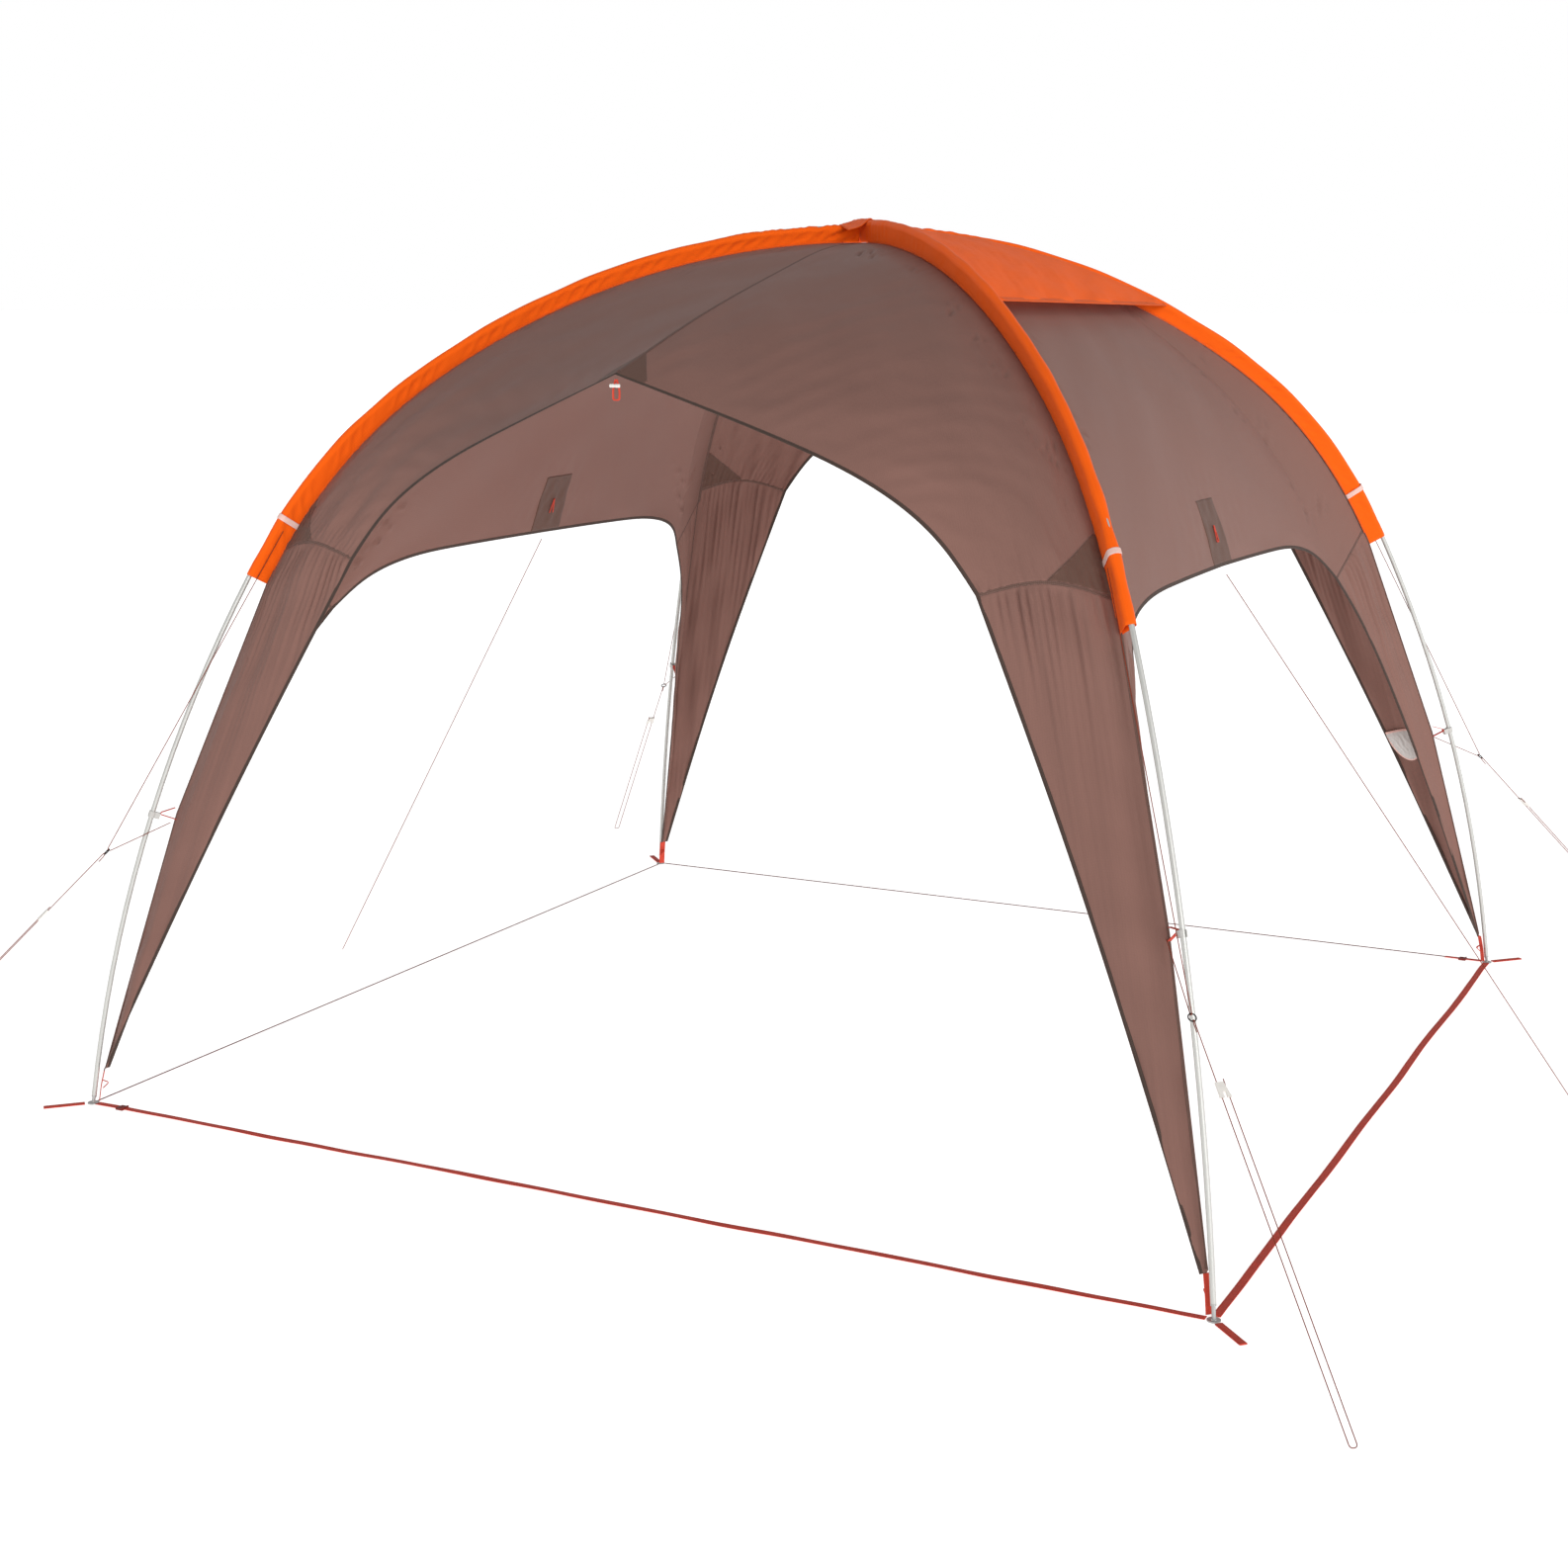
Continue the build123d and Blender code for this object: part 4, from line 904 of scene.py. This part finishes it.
door_shares = np.linspace(0, 1, 120)
for name in ("rear", "front"):
    halves = []
    for corner in (f"{name}_right", f"{name}_left"):
        upper = turned(patch(*CROWN_EDGES, np.array((0.97, 1.0)), door_shares), corner)
        lower = turned(patch(*DOOR_LEG_EDGES, np.array((0.9, 1.0)), door_shares), corner)
        halves.append(np.concatenate((upper, lower[1:])))
    whole = np.concatenate((halves[0][::-1], halves[1][1:]))
    binding(f"door_binding_{name}", whole[:, 1], whole[:, 0])

for side, sign in SIDES:
    hem = patch(*SIDE_EDGES, np.linspace(0, 1, 241), np.array((0.97, 1.0)))
    bare = hem[:, abs(hem[1, :, 1]) < SIDE_HEM_END]
    leg = patch(*SIDE_LEG_EDGES, np.array((0.9, 1.0)), door_shares).swapaxes(0, 1)
    both = np.concatenate((leg[:, ::-1], bare[:, ::-1], leg * FLIP), axis=1)
    both = both * np.array((sign, 1, 1))
    binding(f"side_binding_{side}", both[1], both[0])

for corner in CORNERS:
    for name, edges in (("leg", DOOR_LEG_EDGES), ("side", SIDE_LEG_EDGES)):
        top = turned(patch(*edges, np.linspace(0.006, 0.985, 60), np.array((0.0, 0.02))), corner)
        brown_seam(f"{name}_seam_{corner}", top[0], top[1], *TOP_SEAM_SIZE)
    line = patch(*DOOR_LEG_EDGES, np.array((0.0, 0.05)), np.linspace(0.02, 0.995, 160))
    line = turned(line, corner)
    brown_seam(f"corner_seam_{corner}", line[:, 0], line[:, 1], 0.007)
for name, sign in DOORS:
    line = ridge_line(np.linspace(0.01, 0.985, 120)) * np.array((1, sign, 1))
    brown_seam(f"ridge_seam_{name}", line, line + np.array((0.02, 0, 0)), 0.009, 0.0022)

# The top panels' low edges have a wide stitched hem.
for side, corner in HALF_TURNS.items():
    low = turned(patch(*VENT_EDGES, np.linspace(0.012, 0.988, 90), np.array((0.97, 1.0))), corner)
    edge_band(f"vent_hem_{side}", low[1], low[0], *VENT_HEM_SIZE, orange_seam, "orange_cloth")

# Second layers of cloth: leg gussets, door peaks and hem middles.
PATCH_THICKNESS = 0.0030
NEAR = 0.004
# Shares down, shares across at the start and at the end, and the number of rows.
GUSSET = ((0.915, 0.997), (0.004, 0.03), (0.004, 0.47), 48)
PEAK = ((0.002, 0.068), (0.895, 0.995), (0.985, 0.995), 24)
HEM_MIDDLE = ((0.815, 0.992), (0.468, 0.532), (0.468, 0.532), 40)


def second_layer(name, edges, folds, corner, seed, down, start, end, count):
    """A patch over a panel, between two shares down, with shares across at its start and end."""
    rows = []
    for share in np.linspace(0, 1, count):
        here = down[0] + (down[1] - down[0]) * share
        low, high = (start[k] + (end[k] - start[k]) * share for k in range(2))
        near = [max(here - NEAR, 0), here, min(here + NEAR, 1)]
        rows.append(draped(edges, folds, corner, np.linspace(low, high, 40), near, seed)[1])
    grid = np.array(rows)
    piece = cloth_object(name, grid, PATCH_THICKNESS)
    finished(piece, patch_cloth, replaced=("reinforcement_patches",))
    return grid


for corner in CORNERS:
    crown = (CROWN_EDGES, crown_folds, corner, SEEDS[corner])
    gusset = second_layer(f"leg_gusset_{corner}", *crown, *GUSSET)
    peak = second_layer(f"peak_layer_{corner}", *crown, *PEAK)
    brown_seam(f"peak_seam_{corner}", peak[:, 0], peak[:, 2], 0.005)
    brown_seam(f"gusset_seam_{corner}", gusset[:, -1], gusset[:, -3], 0.006)

for side, corner in HALF_TURNS.items():
    panel_facts = (SIDE_EDGES, side_folds, corner, SIDE_SEEDS[side])
    second_layer(f"hem_patch_{side}", *panel_facts, *HEM_MIDDLE)


# ---- sleeves
SLEEVE_RADIUS = 0.013
SLEEVE_SHIFT = 0.005
SEAM_RADIUS = 0.003
STRAP_ANGLE = radians(55.8)


def sleeve_depth(corner, angle):
    """From the sleeve's big circle down to its small one at the seam."""
    return seam_inset(angle) + arch_lift(corner) * cos(angle) - SLEEVE_SHIFT - SEAM_RADIUS


def section_frame(corner, angle):
    """The big circle's centre, and unit directions out of the dome, sideways, and down the pole."""
    outwards = at_corner(corner, sin(angle), cos(angle))
    downwards = at_corner(corner, cos(angle), -sin(angle))
    reach, height = arch_point(angle)
    centre = at_corner(corner, reach, height + arch_lift(corner)) - outwards * SLEEVE_SHIFT
    return centre, outwards, outwards.cross(downwards), downwards


def teardrop(big, small, depth, count):
    """Points and outward directions round the sleeve's section, from the seam round and back."""
    tilt = asin((big - small) / depth)
    places = []
    for turn in np.linspace(-pi / 2, 1.5 * pi, count, endpoint=False):
        over = sin(turn) > -sin(tilt)
        radius = big if over else small
        places.append((cos(turn) * radius, sin(turn) * radius - (0 if over else depth), 0))
    shares = np.linspace(0, 1, count, endpoint=False)
    points = by_length(places + places[:1])(shares)[:, :2]
    runs = np.roll(points, -1, axis=0) - np.roll(points, 1, axis=0)
    square = unit(np.stack((runs[:, 1], -runs[:, 0]), axis=-1))
    return points, square, shares


def sleeve_swell(run, shares, seed, tight):
    """A sleeve's puckers, slack, and gathers at the crown, as heights off its section."""
    around = shares * SLEEVE_GIRTH
    flatness = bell(np.abs(shares - 0.5), 0.30, 0.11)
    puckers = -np.abs(ripples(run, around, seed, 0.055, 0.85, 0.16)) * (0.0006 if tight else 0.0032)
    slack = ripples(run, around, seed + 1, 0.16, 0.9, 0.6) * 0.0010
    gathered = bell(run, 0, 0.24) * ripples(run, around, seed + 2, 0.026, 0.7, 0.6)
    gathered = gathered * (0.0008 if tight else 0.0026)
    off_seam = rise(np.minimum(shares, 1 - shares), 0.16)
    return puckers * flatness + (slack + gathered) * off_seam


SLEEVE_SIDES = 44
SLEEVE_GIRTH = 0.12
SLEEVE_CLOTH = 0.0007
SLEEVE_HEM = 0.0005
HEM_ANGLE = SLEEVE_END - radians(0.62)
SWELL_END = radians(61.2)
SWELL_LIMITS = (-0.0040, 0.003)
STRAP_STANDOFF = 0.0028
for corner in CORNERS:
    tight = corner in LIFTED
    angles = np.linspace(radians(0.0 if tight else 0.3), SLEEVE_END, 420)
    rings, uvs = [], []
    run = 0.0
    previous = None
    for angle in angles:
        centre, outwards, sideways, downwards = section_frame(corner, angle)
        run += (centre - previous).length if previous else 0
        previous = centre
        hem = SLEEVE_HEM if angle > HEM_ANGLE else 0.0
        sizes = (SLEEVE_RADIUS + hem, SEAM_RADIUS + hem, sleeve_depth(corner, angle))
        points, square, shares = teardrop(*sizes, SLEEVE_SIDES)
        swell = sleeve_swell(run, shares, SEEDS[corner] + 400, tight)
        swell = swell * rise(SWELL_END - angle, 0.03)
        points = points + square * np.clip(swell, *SWELL_LIMITS)[:, None]
        rings.append([tuple(centre + sideways * x + outwards * y) for x, y in points])
        uvs.append([(share * SLEEVE_GIRTH, run) for share in shares])
    faces = []
    for i in range(len(angles) - 1):
        for j in range(SLEEVE_SIDES):
            here, after = i * SLEEVE_SIDES + j, i * SLEEVE_SIDES + (j + 1) % SLEEVE_SIDES
            faces.append((here, after, after + SLEEVE_SIDES, here + SLEEVE_SIDES))
    vertices, flat_uvs = np.array(rings).reshape(-1, 3), np.array(uvs).reshape(-1, 2)
    piece = mesh_object(f"sleeve_cloth_{corner}", vertices, faces, flat_uvs)
    thicken(piece, SLEEVE_CLOTH, -1)
    finished(piece, orange_cloth, replaced=(f"sleeve_{corner}",))

    # The sleeve's sewn seam is a narrow folded strip against the panels.
    lines = []
    for angle in np.linspace(radians(1.5), SLEEVE_END - 0.01, 200):
        centre, outwards, sideways, downwards = section_frame(corner, angle)
        fold = centre - outwards * (sleeve_depth(corner, angle) + SEAM_RADIUS - 0.001)
        lines.append((fold, outwards, sideways))
    centres, wides, thicks = (np.array([tuple(item[k]) for item in lines]) for k in range(3))
    piece = band(f"sleeve_seam_{corner}", centres, wides, thicks, 0.007, 0.0085)
    finished(piece, orange_seam)
    # A flat tape covers that seam on the inside.
    inside = centres - wides * 0.0052
    piece = band(f"inner_seam_{corner}", inside, thicks, wides, 0.013, 0.0014)
    finished(piece, seam_tape)

    # A white webbing loop goes round the sleeve, and the guyline is tied to it.
    centre, outwards, sideways, downwards = section_frame(corner, STRAP_ANGLE)
    radii = (SLEEVE_RADIUS + STRAP_STANDOFF, SEAM_RADIUS + STRAP_STANDOFF)
    points, square, shares = teardrop(*radii, sleeve_depth(corner, STRAP_ANGLE), 60)
    centres = np.array([tuple(centre + sideways * x + outwards * y) for x, y in points])
    thicks = np.array([tuple(sideways * x + outwards * y) for x, y in square])
    wides = repeated(downwards, len(centres))
    piece = band(f"sleeve_strap_loop_{corner}", centres, wides, thicks, 0.015, 0.0016, closed=True)
    finished(piece, white_webbing, replaced=("sleeve_straps",))


# ---- apex patch
CAP_HALF_WIDTH = 0.046
CAP_STANDOFF = 0.0025
shares = np.linspace(-1, 1, 60)
u, v = np.meshgrid(shares, shares, indexing="ij")
over_ridge, along_ridge = (way * CAP_HALF_WIDTH * sqrt(2) for way in (v, u))
fall = 0.0145 * (1 - bell(over_ridge, 0, 0.020))
sag = (over_ridge**2 + along_ridge**2) / (2 * CROWN_RADIUS) + 0.016 * np.abs(u * v) ** 0.8
cap_top = CROWN_HEIGHT + CROSSING_LIFT + SLEEVE_RADIUS - SLEEVE_SHIFT + CAP_STANDOFF
cap_height = cap_top - fall - sag
cap_folds = ripples(u * CAP_HALF_WIDTH, v * CAP_HALF_WIDTH, 700, 0.018, 0.7, 0.9) * 0.0008
cap_folds = cap_folds * rise(1 - np.abs(u), 0.2)
cap = [(v + u) * CAP_HALF_WIDTH, (v - u) * CAP_HALF_WIDTH, cap_height + cap_folds]
cap = np.stack(cap, axis=-1)
piece = cloth_object("apex_cap_cloth", cap, CLOTH)
finished(piece, orange_cloth, replaced=("apex_patch",))
declared(cap)
cap_across = cap.swapaxes(0, 1)
for k, rows in enumerate((cap, cap[::-1], cap_across, cap_across[::-1])):
    name = f"apex_cap_hem_{k}"
    edge_band(name, rows[0], rows[1], *CAP_HEM_SIZE, orange_seam, "orange_cloth")


# ---- webbing and loops
def ribbon(name, places, wide, width, thickness, body=BODY, node="", count=60):
    """A webbing strip along straight runs with softened corners; wide is its width's direction."""
    places = [Vector(place) for place in places]
    softened = [places[0]]
    for before, here, after in zip(places, places[1:], places[2:]):
        reach = min((here - before).length, (after - here).length) * 0.3
        start, end = part_way(here, before, reach), part_way(here, after, reach)
        for share in np.linspace(0, 1, 5):
            back, forth = (1 - share) ** 2, 2 * share * (1 - share)
            softened.append(start * back + here * forth + end * share**2)
    softened.append(places[-1])
    centres = by_length([tuple(place) for place in softened])(np.linspace(0, 1, count))
    wides = repeated(Vector(wide).normalized(), count)
    thicks = unit(np.cross(unit(np.gradient(centres, axis=0)), wides))
    piece = band(name, centres, wides, thicks, width, thickness)
    return finished(piece, red_webbing, body, (node,) if node else ())


WEBBING_WIDTH = 0.020
WEBBING_THICKNESS = 0.0016
foot_reach = arch_point(solved(lambda angle: arch_point(angle)[1] < 0))[0]
FOOT = foot_reach / sqrt(2)
tape_low, tape_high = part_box("perimeter_webbing")
TAPE_LEVEL = (tape_low[2] + tape_high[2]) / 2
TAPE_END = FOOT - 0.017
TAIL_LENGTH = 0.115
TAPE_POINTS = 240


def ground_tape(name, start, end, seed):
    """Webbing that lies along the ground, with a slight wander and lift."""
    start, end = np.array(start, float), np.array(end, float)
    shares = np.linspace(0, 1, TAPE_POINTS)
    length = np.linalg.norm(end - start)
    run = (end - start) / length
    side = np.array((-run[1], run[0], 0))
    held = rise(shares, 0.03) * rise(1 - shares, 0.03)
    wander = ripples(shares * length, 0, seed, 0.9, 0, 0.3) * 0.0018 * held
    lift = ripples(shares * length, 0, seed + 1, 0.25, 0, 0.3) * 0.00035 * held
    tilt = ripples(shares * length, 0, seed + 2, 0.5, 0, 0.3) * 0.03 * held
    centres = start + run * (shares * length)[:, None] + side * wander[:, None]
    centres[:, 2] += lift
    wides = side + np.array((0, 0, 1)) * tilt[:, None]
    thicks = unit(np.cross(repeated(run, len(shares)), wides))
    piece = band(name, centres, unit(wides), thicks, WEBBING_WIDTH, WEBBING_THICKNESS)
    return finished(piece, red_webbing, replaced=("perimeter_webbing",))


corner_near, corner_far = (-TAPE_END, -FOOT, TAPE_LEVEL), (FOOT, TAPE_END, TAPE_LEVEL)
ground_tape("front_ground_tape", corner_near, (TAPE_END, -FOOT, TAPE_LEVEL), 800)
ground_tape("right_ground_tape", (FOOT, -TAPE_END, TAPE_LEVEL), corner_far, 810)
tail = [(TAPE_END - reach, FOOT, TAPE_LEVEL) for reach in (TAIL_LENGTH, 0)]
ground_tape("rear_ground_tail", *tail, 820)

CLIP_LEVEL = 0.775
CLIP_REACH = arch_point(solved(lambda angle: arch_point(angle)[1] < CLIP_LEVEL))[0]
LOOP_LENGTH = 0.104
LOOP_LEVELS = (0.00115, 0.0032)
TAB_LEVELS = (0.781, 0.750)
for corner in CORNERS:
    lift = arch_lift(corner)
    door = at_corner(corner, 0, 0, 1)
    # The tab that joins the leg's corner to the clip on the pole: two arms to a point.
    inner_top, inner_low = (at_corner(corner, 1.897, height) for height in TAB_LEVELS)
    outer = at_corner(corner, CLIP_REACH - 0.0225, CLIP_LEVEL + lift)
    apart = Vector((0, 0, 0.003))
    arms = [inner_top, outer + apart, outer - apart, inner_low]
    ribbon(f"leg_tab_{corner}", arms, door, 0.010, 0.0018, node="leg_webbing")
    # The foot strap, from the leg's tip to the eyelet, with a small loop half way.
    top = at_corner(corner, LEG_TIP[0] * sqrt(2) + 0.001, 0.092)
    low = at_corner(corner, foot_reach - 0.017, 0.007)
    outward = at_corner(corner, 1, 0)
    places = [top, (top + low) / 2 + outward * 0.002, low]
    ribbon(f"foot_strap_{corner}", places, door, WEBBING_WIDTH, WEBBING_THICKNESS)
    grip = top + (low - top) * 0.5 - outward * 0.002
    loop = [grip + Vector((0, 0, 0.012)), grip - outward * 0.016 + Vector((0, 0, 0.004))]
    loop.append(grip - Vector((0, 0, 0.010)))
    ribbon(f"foot_grip_{corner}", loop, door, 0.008, 0.0014)
    # The stake loop is two layers of webbing with an open eye between them.
    loop_start = foot_reach + 0.0204
    reaches = [loop_start + LOOP_LENGTH * share for share in np.linspace(0, 1, 40)]
    lower = [at_corner(corner, reach, LOOP_LEVELS[0]) for reach in reaches]
    upper = [at_corner(corner, reach, LOOP_LEVELS[1]) for reach in reaches[::-1]]
    centres = np.array([tuple(place) for place in lower + upper])
    wides = repeated(door, len(centres))
    thicks = unit(np.cross(unit(np.gradient(centres, axis=0)), wides))
    name, body = f"stake_loop_webbing_{corner}", f"stake_loop_{corner}"
    piece = band(name, centres, wides, thicks, 0.018, 0.0013, closed=True)
    finished(piece, red_webbing, body, (body,))

# Small pull loops lie on the low sides' hem patches.
for side, sign in SIDES:
    low, high = (Vector(place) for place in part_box(f"pull_tab_{side}"))
    inner_x, outer_x = (high.x, low.x) if sign < 0 else (low.x, high.x)
    top = Vector((inner_x + sign * 0.0012, 0, high.z - 0.0012))
    bottom = Vector((outer_x - sign * 0.0016, 0, low.z + 0.0012))
    fall = (bottom - top).normalized()
    out = Vector((-fall.z * sign, 0, fall.x * sign))
    length = (bottom - top).length
    corners = ((top, -0.002), (bottom, -0.0082), (bottom, 0.0082), (top, 0.002))
    outline = [place + Vector((0, aside, 0)) for place, aside in corners]
    body = f"pull_tab_{side}"
    ribbon(f"pull_loop_{side}", outline, out, 0.0022, 0.0034, body=body, node=body, count=90)
    stem = [top, top + fall * length * 0.42]
    ribbon(f"pull_stem_{side}", stem, (0, 1, 0), 0.009, 0.0018, body=body)

    # The same webbing shows on the inner face, sewn flat below the hem patch's top.
    within = top - out * 0.0105
    for way in (-1, 1):
        ends = [within, within + fall * 0.045 + Vector((0, way * 0.009, 0))]
        ribbon(f"inner_tab_{side}_{way}", ends, (0, 1, 0), 0.0045, 0.0022)


# ---- toggles
def turned_piece(name, profile, start, axis):
    """A turned solid: distance and radius pairs along an axis."""
    sides = 28
    axis = Vector(axis).normalized()
    first = axis.orthogonal().normalized()
    second = axis.cross(first)
    vertices, faces = [], []
    for distance, radius in profile:
        for k in range(sides):
            turn = 2 * pi * k / sides
            around = first * cos(turn) + second * sin(turn)
            vertices.append(Vector(start) + axis * distance + around * radius)
    for i in range(len(profile) - 1):
        for k in range(sides):
            here, after = i * sides + k, i * sides + (k + 1) % sides
            faces.append((here, after, after + sides, here + sides))
    faces.append(tuple(range(sides)))
    faces.append(tuple(range((len(profile) - 1) * sides, len(profile) * sides)))
    piece = mesh_object(name, vertices, faces)
    piece.modifiers.new("round", "SUBSURF").render_levels = 1
    return piece


# A toggle's profile from one end to its waist, as distances and radii; it is symmetric.
TOGGLE_LENGTH = 0.026
TOGGLE_HALF = [(0.0, 0.0028), (0.0006, 0.0039), (0.0016, 0.0043), (0.0030, 0.0043)]
TOGGLE_HALF += [(0.0036, 0.0038), (0.0046, 0.0038), (0.0052, 0.0043), (0.0100, 0.0044), (0.0112, 0.0036)]
TOGGLE_PROFILE = TOGGLE_HALF + [(TOGGLE_LENGTH - place, radius) for place, radius in TOGGLE_HALF[::-1]]
PEAK_LOOP = (1.328, 1.900)
LOOP_OUTLINE = ((0.0015, 0), (0.0086, -0.024), (0.0080, -0.046))
for name, y_sign in DOORS:
    body = f"peak_toggle_{name}"
    start = (-TOGGLE_LENGTH / 2, y_sign * (PEAK_LOOP[0] + 0.0065), PEAK_LOOP[1] - 0.014)
    piece = turned_piece(f"toggle_barrel_{name}", TOGGLE_PROFILE, start, (1, 0, 0))
    finished(piece, lok_plastic, body, (body,))
    top = Vector((0, y_sign * PEAK_LOOP[0], PEAK_LOOP[1]))
    shape = [top + Vector((-x, 0, z)) for x, z in LOOP_OUTLINE]
    shape += [top + Vector((x, 0, z)) for x, z in LOOP_OUTLINE[::-1]]
    ribbon(f"toggle_loop_{name}", shape, (0, 1, 0), 0.0050, 0.0036, body, count=90)

# ---- mesh pocket
shares = np.linspace(0, 1, 40)
pocket = patch(*DOOR_LEG_EDGES, np.linspace(0.35, 0.97, 40), np.linspace(0.52, 0.59, 40))
pocket = turned(pocket, "rear_right")
away = normals_of(pocket)
u, v = np.meshgrid(shares, shares, indexing="xy")
half_moon = 0.15 + 0.85 * np.sqrt(np.clip(1 - (2 * u - 1) ** 2, 0, 1))
shaped = pocket[:1] + (pocket - pocket[:1]) * half_moon[..., None]
swell = np.sin(pi * u) * np.sin(pi * v**0.8)
wrinkle = ripples(u * 0.12, v * 0.1, 930, 0.02, 0.0, 0.6) * 0.0012 * swell
shaped = shaped - away * (0.0045 + 0.013 * swell + wrinkle)[..., None]
piece = cloth_object("pocket_cloth", shaped, 0.0012)
finished(piece, pocket_mesh, replaced=("mesh_pocket",))
declared(shaped)
edge_band("pocket_top_tape", shaped[0], shaped[1], 0.007, 0.0024, 0.002, white_webbing, "mesh_cloth")
edge_band("pocket_edge_tape", shaped[-1], shaped[-2], 0.005, 0.0022, 0.001, white_webbing, "mesh_cloth")

# ---- CAD hardware
for material, nodes in (
    (pole_metal, POLES),
    (tip_metal, ("pole_ferrules", "pole_tips", "foot_grommets")),
    (ring_plastic, ("shock_cords", "guy_rings")),
    (clip_plastic, ("pole_clips",)),
    (lock_plastic, ("ladder_lock_front", "ladder_lock_rear")),
    (lok_plastic, [f"line_lok_{corner}" for corner in CORNERS]),
):
    for node in nodes:
        repaint(node, material)


# ---- floor and light
FLOOR_REACH = 400
FLOOR_LEVEL = -0.0005
FLOOR_GREY = 0.80
FLOOR_GLOW = 0.80
floor_corners = [(x * FLOOR_REACH, y * FLOOR_REACH, 0) for x, y in CORNERS.values()]
floor_mesh = bpy.data.meshes.new("floor")
floor_mesh.from_pydata(floor_corners, [], [(0, 1, 2, 3)])
floor = added("floor", floor_mesh)
floor.location.z = FLOOR_LEVEL
floor_paint = Paint("floor_paint", 0.95)
floor_paint.set("Base Color", (*[FLOOR_GREY] * 3, 1))
floor_paint.set("Emission Color", (1, 1, 1, 1))
floor_paint.set("Emission Strength", FLOOR_GLOW)
floor_mesh.materials.append(floor_paint.material)

# A white studio, darker overhead, with a soft key from the right.
SKY_TOP = 0.10
SKY_FADE = (0.17, 0.80)
KEY_AIM = (1.0, -0.75, 0.45)
KEY_POWER = 1.5
KEY_WIDTH = radians(40)
world = bpy.data.worlds.new("world")
bpy.context.scene.world = world
world.use_nodes = True
sky = world.node_tree
place = sky.nodes.new("ShaderNodeTexCoord")
split = sky.nodes.new("ShaderNodeSeparateXYZ")
fade = sky.nodes.new("ShaderNodeMapRange")
ramp = sky.nodes.new("ShaderNodeMix")
ramp.data_type = "RGBA"
fade.inputs[1].default_value, fade.inputs[2].default_value = SKY_FADE
ramp.inputs[6].default_value = (1, 1, 1, 1)
ramp.inputs[7].default_value = (*[SKY_TOP] * 3, 1)
sky.links.new(place.outputs["Generated"], split.inputs[0])
sky.links.new(split.outputs[2], fade.inputs[0])
sky.links.new(fade.outputs[0], ramp.inputs[0])
sky.links.new(ramp.outputs[2], sky.nodes["Background"].inputs[0])
sky.nodes["Background"].inputs[1].default_value = 1.0

key_data = bpy.data.lights.new("key", "SUN")
key_data.energy = KEY_POWER
key_data.angle = KEY_WIDTH
key = added("key", key_data)
key.rotation_euler = Vector(KEY_AIM).to_track_quat("Z", "Y").to_euler()

bpy.context.scene.view_settings.view_transform = "Standard"
